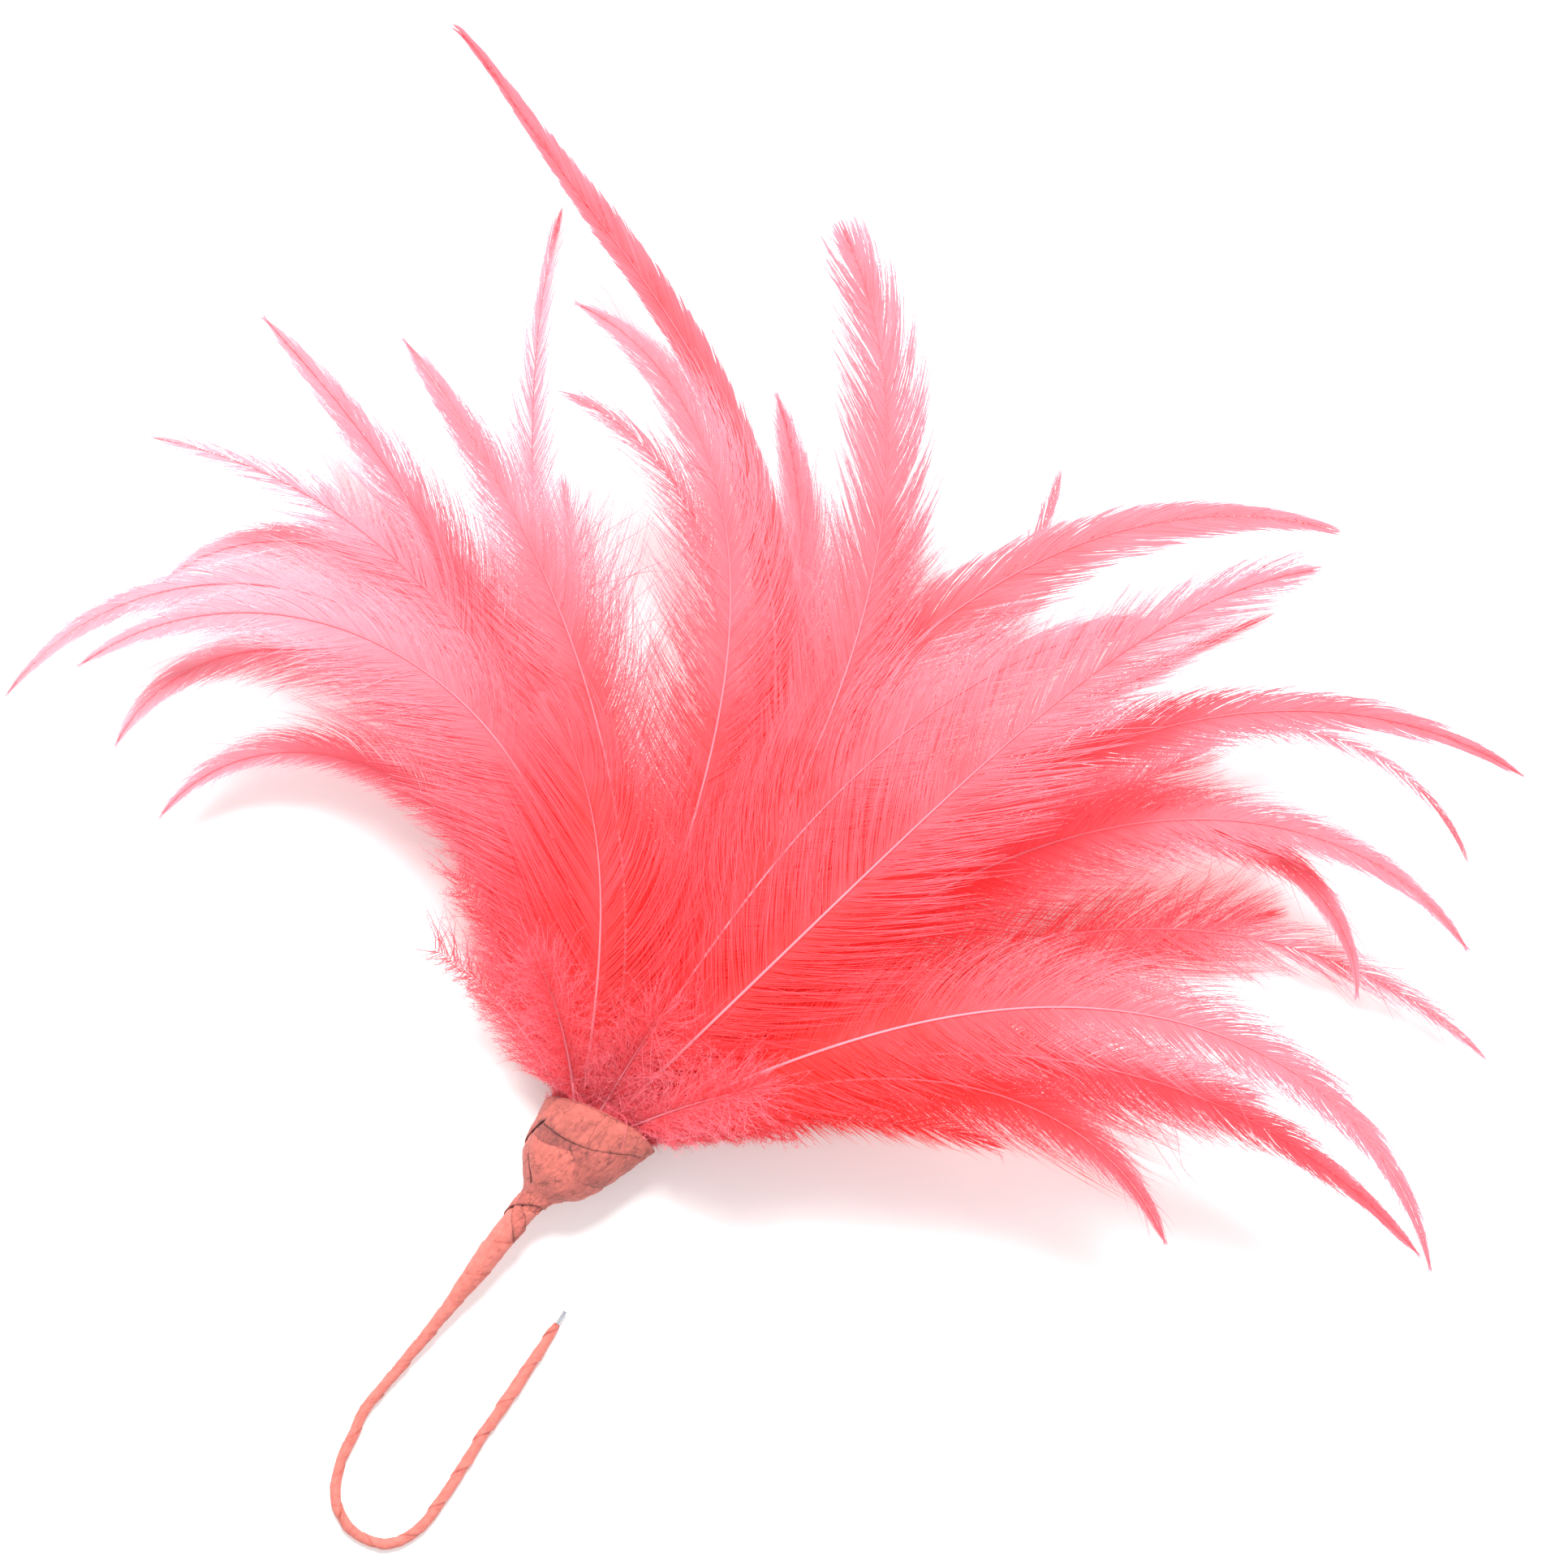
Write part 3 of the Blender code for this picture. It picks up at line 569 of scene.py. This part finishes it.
# name, CAD nodes, height over the cup, greyness, how far it puffs up, and rows of
# (share of length, degrees round from the right) from its upper edge to its lower one
KNOT_PANELS = (
    ("left_fold", ("left_strip",), 0.28, 0.15, 0.10, (
        ((0.50, 222), (0.50, 190), (0.49, 152)),
        ((0.26, 222), (0.25, 185), (0.26, 140)),
        ((0.02, 216), (-0.02, 160), (-0.02, 104)),
    )),
    ("grey_fold", (), 0.20, 0.66, 0.10, (
        ((0.53, 164), (0.60, 140), (0.60, 112), (0.60, 86)),
        ((0.36, 160), (0.38, 135), (0.42, 108), (0.46, 86)),
    )),
    ("front_fold", ("front_panel",), 0.40, 0.12, 0.24, (
        ((0.44, 157), (0.42, 126), (0.485, 90)),
        ((0.26, 138), (0.30, 108), (0.42, 74)),
        ((0.04, 104), (0.17, 90), (0.33, 66)),
    )),
    ("lower_fold", ("back_panel",), 0.34, 0.16, 0.30, (
        ((0.21, 94), (0.40, 70), (0.44, 30), (0.44, -8), (0.46, -60), (0.52, -120)),
        ((0.10, 84), (0.20, 58), (0.27, 22), (0.30, -14), (0.32, -60), (0.36, -120)),
        ((0.03, 78), (0.06, 56), (0.11, 20), (0.17, -20), (0.15, -60), (0.16, -120)),
    )),
    ("right_fold_over", ("right_fold",), 0.50, 0.34, 0.28, (
        ((0.53, 97), (0.62, 72), (0.74, 46), (0.86, 14), (0.90, -22), (0.90, -70)),
        ((0.44, 88), (0.50, 66), (0.58, 40), (0.64, 10), (0.66, -22), (0.68, -70)),
        ((0.31, 72), (0.34, 56), (0.38, 30), (0.42, 6), (0.46, -26), (0.50, -70)),
    )),
    ("slant_fold", (), 0.58, 0.24, 0.22, (
        ((0.72, 146), (0.84, 118), (0.84, 84), (0.90, 50), (0.94, 20), (0.94, -10)),
        ((0.55, 146), (0.53, 113), (0.555, 88), (0.64, 66), (0.76, 40), (0.84, 8)),
    )),
    ("collar", ("collar_strip",), 0.66, 0.16, 0.14, (
        ((0.86, 232), (0.88, 180), (0.97, 126), (0.985, 86), (1.02, 66), (0.99, 30), (0.97, 0),
         (0.97, -60), (0.97, -124)),
        ((0.58, 230), (0.60, 182), (0.82, 128), (0.87, 88), (0.90, 62), (0.93, 30), (0.92, 2),
         (0.86, -60), (0.74, -124)),
        ((0.30, 226), (0.35, 184), (0.62, 138), (0.76, 98), (0.77, 72), (0.86, 34), (0.89, 4),
         (0.76, -60), (0.52, -124)),
    )),
    ("neck_wrap", ("neck_strap",), 0.20, 0.10, 0.06, (
        ((0.05, 250), (0.03, 200), (-0.05, 150), (-0.14, 110), (-0.22, 60), (-0.28, 0)),
        ((-0.10, 250), (-0.13, 200), (-0.18, 150), (-0.26, 110), (-0.34, 60), (-0.38, 0)),
    )),
    ("neck_cross", ("neck_cross_strap",), 0.34, 0.18, 0.08, (
        ((0.12, -30), (0.15, 40), (0.17, 92), (0.04, 128), (-0.08, 168), (-0.18, 220)),
        ((-0.04, -30), (-0.04, 30), (-0.05, 72), (-0.14, 112), (-0.22, 160), (-0.30, 220)),
    )),
)


def squarish(values):
    return np.sign(values) * np.abs(values) ** SQUARENESS


def knot_surface(share, degrees, lift):
    """Points on the knot at a height over its cup."""
    columns = np.array(KNOT_SECTIONS).T
    along, centre, half_across, half_high, axis = [np.interp(share, columns[0], c) for c in columns[1:]]
    turn = np.radians(degrees)
    across = squarish(np.cos(turn)) * (half_across + lift)
    up = squarish(np.sin(turn)) * (half_high + lift)
    grow = np.maximum(share, 0) ** 2
    slant = grow * (MOUTH_SLANT * across + MOUTH_ARCH * np.sin(turn) ** 2 - MOUTH_ARCH / 2)
    points = np.stack([across + centre, along + slant, axis + up], -1)
    return above_floor(points, KNOT_FLOOR, KNOT_SOFT)


def crumple(points, size, seed):
    """Creased noise at each point, as crumpled paper has: sharp valleys between flat facets."""
    flat = points.reshape(-1, 3) / size + seed * 7.31
    values = [noise.noise(Vector(p)) + 0.5 * abs(noise.noise(Vector(p * 2.3))) for p in flat]
    return np.array(values).reshape(points.shape[:-1])


def through_points(values, shares):
    """Values on a smooth curve through evenly spread points."""
    count = len(values)
    spot = np.clip(shares * (count - 1), 0, count - 1 - 1e-9)
    low = spot.astype(int)
    part = (spot - low)[:, None]
    padded = np.concatenate([2 * values[:1] - values[1:2], values, 2 * values[-1:] - values[-2:-1]])
    before, here, there, after = [padded[low + step] for step in range(4)]
    square = 2 * before - 5 * here + 4 * there - after
    cube = -before + 3 * here - 3 * there + after
    return 0.5 * (2 * here + (there - before) * part + (square * part**2 + cube * part**3))


def grid_faces(rows, columns, flip=False):
    corner = (np.arange(rows - 1)[:, None] * columns + np.arange(columns - 1)[None]).reshape(-1)
    quad = [corner, corner + 1, corner + columns + 1, corner + columns]
    return np.stack(quad[::-1] if flip else quad, 1)


def paper_sheet(bundle, top, under, tones):
    """A sheet with thickness, from grids of points on its two sides."""
    rows, columns = top.shape[:2]
    start = bundle.count
    bundle.add(top, tones, grid_faces(rows, columns, flip=True))
    bundle.add(under, tones, grid_faces(rows, columns))
    index = np.arange(rows * columns).reshape(rows, columns)
    rim = np.concatenate([index[0], index[1:, -1], index[-1, -2::-1], index[-2:0:-1, 0]])
    after = np.roll(rim, -1)
    far = rows * columns
    bundle.faces.extend((np.stack([rim, after, after + far, rim + far], 1) + start).tolist())


def knot_panel(index, name, nodes, lift, grey, puff, rows, material):
    """One folded lap of the paper strip, puffed between its pressed edges."""
    corners = np.array(rows, float)
    down = np.linspace(0, 1, PANEL_ROWS)
    over = np.linspace(0, 1, 40 + 14 * len(rows[0]))
    spread = np.stack([through_points(row, over) for row in corners])
    grid = through_points(spread.reshape(len(rows), -1), down).reshape(len(down), len(over), 2)
    share, degrees = grid[..., 0], grid[..., 1]
    row_edge = np.minimum(down, 1 - down)[:, None]
    end_edge = np.minimum(over, 1 - over)[None]
    edge = np.minimum(row_edge * 6, end_edge * 8)
    swell = np.clip(edge, 0, 1) ** 0.5
    flat = knot_surface(share, degrees, np.full_like(share, lift))
    pleat = np.abs(crumple(np.stack([share * 3, degrees / 9, lift + 0 * share], -1), 1.0, index + 20))
    rumple = crumple(flat, 2.1, index) * RUMPLE - PLEAT_DEPTH * pleat
    rumple = rumple + crumple(flat, 0.6, index + 30) * FINE_RUMPLE
    height = lift + puff * (swell - 0.4) + rumple * np.clip(0.35 + edge, 0, 1)
    top = knot_surface(share, degrees, height)
    under = knot_surface(share, degrees, height - PAPER)
    mottle = crumple(flat, 2.6, index + 40) + 0.9 * crumple(flat, 0.6, index + 50)
    tall = np.linalg.norm(flat[-1] - flat[0], axis=-1).mean()
    long = np.linalg.norm(np.diff(flat[PANEL_ROWS // 2], axis=0), axis=-1).sum()
    # painted shade: each panel darkens towards its edges, where it creases over the lap under it
    crease_shade = np.exp(-np.minimum(row_edge * tall, end_edge * long) / CREASE_SHADE_REACH)
    # the sunken pleats are darkened too, as painted shade
    tones = np.clip(grey + MOTTLE_TONE * mottle + PLEAT_SHADE_TONE * pleat + CREASE_SHADE_TONE * crease_shade, 0, 1)
    bundle = Bundle()
    paper_sheet(bundle, top, under, tones)
    piece = bundle.piece(name, material)
    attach(piece, "spray")
    if nodes:
        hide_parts(*nodes)


def knot_cup(material):
    """The bottom laps of the knot, one strip wound round and turned in at the mouth."""
    lining = np.linspace(0.99, 1 - CUP_LINING, LINING_ROWS)
    share = np.append(np.linspace(-0.12, 1.0, CUP_ROWS), lining)
    inside = np.append(np.zeros(CUP_ROWS), np.linspace(0.12, 0.45, LINING_ROWS))
    degrees = np.linspace(0, 360, CUP_TURNS + 1)
    share, degrees = np.meshgrid(share, degrees, indexing="ij")
    inside = np.broadcast_to(inside[:, None], share.shape)
    lap = (degrees / 360 * 3 + share * 2.2) % 1.0
    flat = knot_surface(share, degrees, np.zeros_like(share))
    rumple = crumple(flat, 2.4, 3) * 0.12
    lift = CUP_LAP * lap * (degrees % 360 > 0) + rumple - inside - CUP_SINK
    lift[:, -1] = lift[:, 0]
    tones = np.clip(0.25 + 0.25 * crumple(flat, 1.2, 60) - 0.15 * (lap > 0.92), 0, 1)
    tones[:, -1] = tones[:, 0]
    bundle = Bundle()
    bundle.add(knot_surface(share, degrees, lift), tones, grid_faces(*share.shape, flip=True))
    piece = bundle.piece("knot_wrap", material)
    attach(piece, "spray")
    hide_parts("paper_cup")


# ---------------------------------------------------------------- wound stem
# distance across and along from the root, and height above the floor
STEM_ROUTE = (
    (0.0, 0.5, 7.9), (0.0, -4.0, 7.9), (-0.6, -8.4, 7.6),
    (-0.8, -16.4, 6.4), (-0.6, -21.8, 5.4), (-0.5, -27.6, 4.2),
    (-0.4, -33.6, 3.0), (-0.5, -39.2, 2.1), (-0.6, -44.8, 1.4),
    (-0.7, -50.0, 1.1), (0.4, -54.7, 1.0), (1.4, -58.8, 0.9),
    (3.0, -62.1, 0.9), (5.2, -64.6, 0.9), (8.0, -65.9, 0.9),
    (11.0, -66.1, 0.9), (13.8, -65.2, 0.9), (15.7, -63.5, 0.9),
    (16.8, -61.5, 0.9), (17.3, -59.3, 0.9), (17.4, -56.3, 0.9),
    (17.1, -51.9, 0.9), (16.5, -46.5, 0.9), (16.0, -42.6, 0.9),
    (15.7, -38.2, 1.0), (15.4, -34.3, 1.0), (15.0, -29.9, 1.0),
    (14.6, -25.8, 0.9), (14.3, -22.4, 0.9), (14.0, -19.3, 0.9),
)
# places on the route, counted in its points
NECK_BEND = 5.0
HOOK_NEAR = 12.0
HOOK_FAR = 17.0
TAPE_START = 1.9
TAPE_END = 28.3
WIRE_RADIUS = 0.36
WIRE_SIDES = 20
SNIP_SLANT = 0.22           # how far the snipped end leans, and which way round
SNIP_TURN = 0.6
SNIP_RIM = 0.88             # share of the radius inside the rounded rim
# place on the route and radius of the tape there
TAPE_RADII = (
    (1.9, 1.9), (2.2, 1.9), (3.4, 1.95), (4.2, 1.75), (5.0, 1.3),
    (5.8, 1.0), (7.0, 0.88), (9.5, 0.84), (17.0, 0.84), (23.0, 0.86),
    (25.2, 0.98), (27.0, 0.84), (27.8, 0.72), (28.15, 0.56), (28.3, 0.42),
)
TAPE_PITCH = 6.4            # along the stem, from one turn of the tape to the next
TAPE_STEP = 0.16            # how far the tape's edge stands over the turn below
TAPE_CLEARANCE = 0.04       # over the floor, which presses the underside of the tape flat
TAPE_RUMPLE = 0.09
TAPE_FIBRE = 0.012
# painted shade where each turn of the tape steps down onto the turn below: how dark, and how far it
# reaches
SEAM_SHADE_TONE = 0.6
SEAM_SHADE_REACH = 0.30
# how much darker the tape gets at its very end
END_TONE = 0.8
STEM_SIDES = 40
STEM_STEP = 0.16
STEM_SAMPLES = 2400
# body before, body after, where the wire is bent between them, how far back and ahead of there it
# bends, end of the span, CAD pieces it stands for
STEM_SPANS = (
    ("spray", "shank", NECK_BEND, 8.0, 8.0, 8.5, ("upper", "shank")),
    ("shank", "hook_bend", HOOK_NEAR, 8.5, 5.6, 14.5, ("bend",)),
    ("hook_bend", "hook_tip", HOOK_FAR, 5.6, 8.5, 29.0, ("tip",)),
)


class Stem:
    """The stem's centre line, sampled evenly, with a side and a normal direction."""

    def __init__(self):
        fine = np.linspace(0, 1, STEM_SAMPLES)
        points = through_points(np.array(STEM_ROUTE), fine)
        length = np.append(0, np.cumsum(np.linalg.norm(np.diff(points, axis=0), axis=1)))
        self.reach = np.append(np.arange(0, length[-1], STEM_STEP), length[-1])
        self.point = np.stack([np.interp(self.reach, length, points[:, i]) for i in range(3)], 1)
        self.place = np.interp(self.reach, length, fine * (len(STEM_ROUTE) - 1))
        self.ahead = unit(np.gradient(self.point, axis=0))
        self.side = unit(np.cross(self.ahead, (0, 0, 1)))
        self.normal = np.cross(self.side, self.ahead)

    def rows(self, start, end):
        return np.flatnonzero((self.place >= start - 1e-6) & (self.place <= end + 1e-6))

    def ring(self, rows, turn, radius):
        return rings(self.point[rows], self.side[rows], self.normal[rows], turn, radius)

    def pivot(self, place):
        row = np.argmin(abs(self.place - place))
        return self.point[row], self.ahead[row]


def span_piece(name, bundle, stem, span, nodes, material):
    """A length of the stem as one piece, baked into the frame, in place of the CAD pieces it hides."""
    before, after, bend, back, forth = span[:5]
    piece = bundle.piece(name, material)
    centre, ahead = stem.pivot(bend)
    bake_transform(piece)
    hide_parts(*nodes)


def stem_tape(stem, material):
    """Paper tape wound round the wire, each turn lapping over the one before."""
    start = TAPE_START
    turn = np.arange(STEM_SIDES) * math.tau / STEM_SIDES
    for number, span in enumerate(STEM_SPANS):
        end = min(span[5], TAPE_END)
        rows = stem.rows(start, end)
        start = stem.place[rows[-1]]
        lap = (-turn[None] / math.tau - stem.reach[rows, None] / TAPE_PITCH) % 1.0
        base = np.interp(stem.place[rows], *np.array(TAPE_RADII).T)[:, None]
        plain = stem.ring(rows, turn, base)
        twist = stem.reach[rows, None] * math.tau / TAPE_PITCH + turn[None]
        streak = np.sin(twist * 5 + 2.0 * np.sin(stem.reach[rows, None] / 2.3))
        rumple = crumple(plain, 1.7, 80) * TAPE_RUMPLE + TAPE_FIBRE * streak
        thin = np.clip((TAPE_END - stem.place[rows, None]) / 0.6, 0.15, 1)
        radius = base + thin * (TAPE_STEP * (lap - 0.6) + rumple)
        # painted shade just below each turn's raised edge and faintly on the edge itself, stronger in
        # some places than others
        seam_shade = np.exp(-lap * TAPE_PITCH / SEAM_SHADE_REACH) + 0.2 * np.exp(-(1 - lap) * TAPE_PITCH / 0.5)
        bundle = Bundle()
        shade_strength = np.clip(0.75 + 0.9 * crumple(plain, 3.1, 95), 0.3, 1.2)
        # the tape darkens over its last fraction of a millimetre, next to the bare wire
        end_darkening = np.exp((stem.place[rows, None] - TAPE_END) / 0.12)
        tones = 0.08 + SEAM_SHADE_TONE * seam_shade * shade_strength + 0.35 * crumple(plain, 1.1, 90)
        tones = tones + 0.05 * streak + END_TONE * end_darkening
        points = stem.ring(rows, turn, radius)
        points[..., 2] = np.maximum(points[..., 2], TAPE_CLEARANCE)
        bundle.add(points, np.clip(tones, 0, 1), tube_faces(len(rows), STEM_SIDES))
        nodes = ["tape_" + part for part in span[6]]
        span_piece(f"wound_tape_{number + 1}", bundle, stem, span, nodes, material)


def stem_wire(stem, material):
    """The wire inside the tape, snipped off at a slant where it is bare."""
    start = 0.0
    turn = np.arange(WIRE_SIDES) * math.tau / WIRE_SIDES
    for number, span in enumerate(STEM_SPANS):
        rows = stem.rows(start, span[5])
        start = stem.place[rows[-1]]
        points = stem.ring(rows, turn, np.array([[WIRE_RADIUS]]))
        bundle = Bundle()
        snipped = number == len(STEM_SPANS) - 1
        if snipped:
            slant = SNIP_SLANT * np.cos(turn - SNIP_TURN)
            points[-1] -= stem.ahead[rows[-1]] * (SNIP_SLANT - slant)[:, None]
            rim = stem.point[rows[-1]] + (points[-1] - stem.point[rows[-1]]) * SNIP_RIM
            points = np.concatenate([points, rim[None]])
        bundle.add(points, 0.5, tube_faces(len(points), WIRE_SIDES))
        if snipped:
            bundle.faces.append(((len(points) - 1) * WIRE_SIDES + np.arange(WIRE_SIDES)).tolist())
        nodes = ["wire_" + part for part in span[6]]
        span_piece(f"steel_wire_{number + 1}", bundle, stem, span, nodes, material)


# ---------------------------------------------------------------- materials
HACKLE_STOPS = (
    (0.0, (0.98, 0.035, 0.026)), (0.15, (1.0, 0.070, 0.075)), (0.3, (1.0, 0.120, 0.150)),
    (0.5, (1.0, 0.215, 0.270)), (0.75, (1.0, 0.34, 0.42)), (1.0, (1.0, 0.50, 0.57)),
)
KNOT_STOPS = (
    (0.0, (0.62, 0.158, 0.128)), (0.35, (0.47, 0.125, 0.103)),
    (0.65, (0.33, 0.086, 0.074)), (1.0, (0.17, 0.058, 0.054)),
)
TAPE_STOPS = (
    (0.0, (0.66, 0.192, 0.158)), (0.4, (0.57, 0.152, 0.125)), (1.0, (0.30, 0.065, 0.050)),
)
STEEL_STOPS = ((0.3, (0.42, 0.45, 0.49)), (0.7, (0.72, 0.75, 0.79)))
THREAD_STOPS = ((0.3, (0.42, 0.05, 0.05)), (0.7, (0.72, 0.16, 0.15)))
THROUGH_SHARE = 0.32        # share of the light that goes through a barb


def new_material(name):
    material = bpy.data.materials.new(name)
    material.use_nodes = True
    return material, material.node_tree, material.node_tree.nodes["Principled BSDF"]


def set_inputs(node, **values):
    """Values for a node's sockets, named as the sockets are with _ for each space."""
    for name, value in values.items():
        node.inputs[name.replace("_", " ")].default_value = value


def ramp(tree, stops):
    node = tree.nodes.new("ShaderNodeValToRGB")
    while len(node.color_ramp.elements) < len(stops):
        node.color_ramp.elements.new(0.5)
    for element, (position, colour) in zip(node.color_ramp.elements, stops):
        element.position = position
        element.color = (*colour, 1.0)
    return node


def texture(tree, scale, detail=4.0, stretch=(1, 1, 1)):
    """Noise in the piece's own space."""
    place = tree.nodes.new("ShaderNodeTexCoord")
    mapping = tree.nodes.new("ShaderNodeMapping")
    set_inputs(mapping, Scale=stretch)
    pattern = tree.nodes.new("ShaderNodeTexNoise")
    set_inputs(pattern, Scale=scale, Detail=detail)
    tree.links.new(place.outputs["Object"], mapping.inputs["Vector"])
    tree.links.new(mapping.outputs["Vector"], pattern.inputs["Vector"])
    return pattern.outputs["Fac"]


def math_node(tree, operation, first, second=None, third=None):
    node = tree.nodes.new("ShaderNodeMath")
    node.operation = operation
    for socket, value in zip(node.inputs, (first, second, third)):
        if isinstance(value, (int, float)):
            socket.default_value = value
        elif value is not None:
            tree.links.new(value, socket)
    return node.outputs[0]


def colour_by(tree, shader, value, stops):
    """The shader's colour from a value, through a ramp."""
    colours = ramp(tree, stops)
    tree.links.new(value, colours.inputs["Fac"])
    tree.links.new(colours.outputs["Color"], shader.inputs["Base Color"])
    return colours.outputs["Color"]


def tone_value(tree):
    """The tone that each point of the mesh was given."""
    tone = tree.nodes.new("ShaderNodeAttribute")
    tone.attribute_name = "tone"
    return tone.outputs["Fac"]


def add_bump(tree, shader, heights, distance, strength):
    bump = tree.nodes.new("ShaderNodeBump")
    set_inputs(bump, Distance=distance * MM, Strength=strength)
    tree.links.new(heights, bump.inputs["Height"])
    tree.links.new(bump.outputs["Normal"], shader.inputs["Normal"])


def feather_material(name, stops):
    """Dyed barbs, deep near the root and paler along the edges and tips, with light coming through."""
    material, tree, shader = new_material(name)
    varied = math_node(tree, "MULTIPLY_ADD", texture(tree, 90.0, 3.0), 0.25, tone_value(tree))
    colour = colour_by(tree, shader, math_node(tree, "SUBTRACT", varied, 0.125), stops)
    set_inputs(shader, Roughness=0.55, Specular_IOR_Level=0.3, Sheen_Weight=0.15, Sheen_Roughness=0.5)
    through = tree.nodes.new("ShaderNodeBsdfTranslucent")
    tree.links.new(colour, through.inputs["Color"])
    mix = tree.nodes.new("ShaderNodeMixShader")
    set_inputs(mix, Fac=THROUGH_SHARE)
    tree.links.new(shader.outputs["BSDF"], mix.inputs[1])
    tree.links.new(through.outputs["BSDF"], mix.inputs[2])
    tree.links.new(mix.outputs["Shader"], tree.nodes["Material Output"].inputs["Surface"])
    return material


def crease_lines(tree, scale, width):
    """Fine long lines, as pressed paper keeps: 1 on a line, 0 away from it."""
    level = texture(tree, scale, 3.0, (1.0, 0.28, 0.6))
    off = math_node(tree, "ABSOLUTE", math_node(tree, "SUBTRACT", level, 0.5))
    near = tree.nodes.new("ShaderNodeMapRange")
    near.interpolation_type = "SMOOTHSTEP"
    set_inputs(near, From_Min=0.0, From_Max=width, To_Min=1.0, To_Max=0.0)
    tree.links.new(off, near.inputs["Value"])
    return near.outputs["Result"]


def paper_material(name, stops, fleck, line_shade):
    """Crepe paper: mottled dye, crushed creases with painted shade in their pressed lines, fine fibres
    and a dry surface.
    """
    material, tree, shader = new_material(name)
    cloud = texture(tree, 900.0)
    fibre = texture(tree, 3400.0, 6.0, (1.0, 0.35, 1.0))
    lines = crease_lines(tree, 520.0, 0.022)
    mottled = math_node(tree, "MULTIPLY_ADD", cloud, 0.3, tone_value(tree))
    flecked = math_node(tree, "MULTIPLY_ADD", fibre, fleck, mottled)
    # painted shade: the pressed lines, which the bump sinks, are darkened as well
    shade_lined = math_node(tree, "MULTIPLY_ADD", lines, line_shade, flecked)
    colour_by(tree, shader, math_node(tree, "SUBTRACT", shade_lined, 0.15 + fleck / 2), stops)
    tree.links.new(math_node(tree, "MULTIPLY_ADD", fibre, 0.2, 0.68), shader.inputs["Roughness"])
    set_inputs(shader, Specular_IOR_Level=0.25, Sheen_Weight=0.1)
    relief = math_node(tree, "SUBTRACT", math_node(tree, "ADD", cloud, fibre), lines)
    add_bump(tree, shader, relief, 0.12, 0.5)
    return material


def wire_material():
    """Drawn steel wire with faint lines along it and a bright snipped end."""
    material, tree, shader = new_material("drawn_steel")
    lines = texture(tree, 3000.0, 3.0, (1.0, 0.08, 1.0))
    colour_by(tree, shader, lines, STEEL_STOPS)
    tree.links.new(math_node(tree, "MULTIPLY_ADD", lines, 0.2, 0.2), shader.inputs["Roughness"])
    set_inputs(shader, Metallic=1.0)
    add_bump(tree, shader, lines, 0.02, 0.3)
    return material


def thread_material():
    """Twisted cotton."""
    material, tree, shader = new_material("cotton_thread")
    twist = texture(tree, 5200.0, 4.0, (1.0, 0.5, 1.0))
    colour_by(tree, shader, twist, THREAD_STOPS)
    set_inputs(shader, Roughness=0.85, Sheen_Weight=0.3)
    add_bump(tree, shader, twist, 0.05, 0.6)
    return material


# ---------------------------------------------------------------- floor, light and camera
# in metres in the frame; the sensor, the view's centre and its width are in millimetres
FLOOR_REACH = 3.0
FLOOR_COLOUR = (0.93, 0.93, 0.93, 1)
FLOOR_GLOW = 0.14       # keeps the shadows under the feathers pale
WORLD_STRENGTH = 0.80
KEY_SIZE = 0.45
KEY_POWER = 30.0
KEY_HEIGHT = 1.25
KEY_BACK = 0.75         # towards the top of the picture
KEY_AIM = Vector((0, 0.02, 0))
CAMERA_TURN = 38.7
CAMERA_HEIGHT = 2.6
SENSOR = 36.0
VIEW_CENTRE = (-4.6, 24.8)
VIEW_WIDTH = 241.5


def floor_and_light():
    mesh = bpy.data.meshes.new("floor")
    corners = [(x * FLOOR_REACH, y * FLOOR_REACH, 0) for x, y in ((-1, -1), (1, -1), (1, 1), (-1, 1))]
    mesh.from_pydata(corners, [], [(0, 1, 2, 3)])
    floor = new_object("floor", mesh)
    material, _, shader = new_material("pale_floor")
    set_inputs(shader, Base_Color=FLOOR_COLOUR, Roughness=0.9, Specular_IOR_Level=0.1)
    set_inputs(shader, Emission_Color=(1, 1, 1, 1), Emission_Strength=FLOOR_GLOW)
    mesh.materials.append(material)
    world = bpy.data.worlds.new("studio")
    world.use_nodes = True
    set_inputs(world.node_tree.nodes["Background"], Color=(1, 1, 1, 1), Strength=WORLD_STRENGTH)
    bpy.context.scene.world = world
    turn = math.radians(CAMERA_TURN)
    top = Vector((-math.sin(turn), math.cos(turn), 0))
    lamp = bpy.data.lights.new("soft_key", "AREA")
    lamp.shape = "DISK"
    lamp.size = KEY_SIZE
    lamp.energy = KEY_POWER
    key = new_object("soft_key", lamp)
    key.location = KEY_AIM + Vector((0, 0, KEY_HEIGHT)) + top * KEY_BACK
    key.rotation_euler = (KEY_AIM - key.location).to_track_quat("-Z", "Y").to_euler()


def camera():
    data = bpy.data.cameras.new("camera")
    data.sensor_width = SENSOR
    data.lens = SENSOR * CAMERA_HEIGHT / (VIEW_WIDTH * MM)
    data.clip_end = 20.0
    thing = new_object("camera", data)
    thing.location = (VIEW_CENTRE[0] * MM, VIEW_CENTRE[1] * MM, CAMERA_HEIGHT)
    thing.rotation_euler = (0, 0, math.radians(CAMERA_TURN))
    bpy.context.scene.camera = thing


camera()
floor_and_light()
dyed = feather_material("dyed_hackle", HACKLE_STOPS)
for index, row in enumerate(FEATHERS):
    feather(index, *row, dyed)
knot_paper = paper_material("salmon_paper", KNOT_STOPS, 0.45, 0.30)
knot_cup(knot_paper)
for index, row in enumerate(KNOT_PANELS):
    knot_panel(index, *row, knot_paper)
centre_line = Stem()
stem_tape(centre_line, paper_material("stem_tape_paper", TAPE_STOPS, 0.25, 0.20))
stem_wire(centre_line, wire_material())
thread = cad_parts["binding_thread"]
thread.data.materials.clear()
thread.data.materials.append(thread_material())

bpy.context.scene.view_settings.view_transform = "Standard"
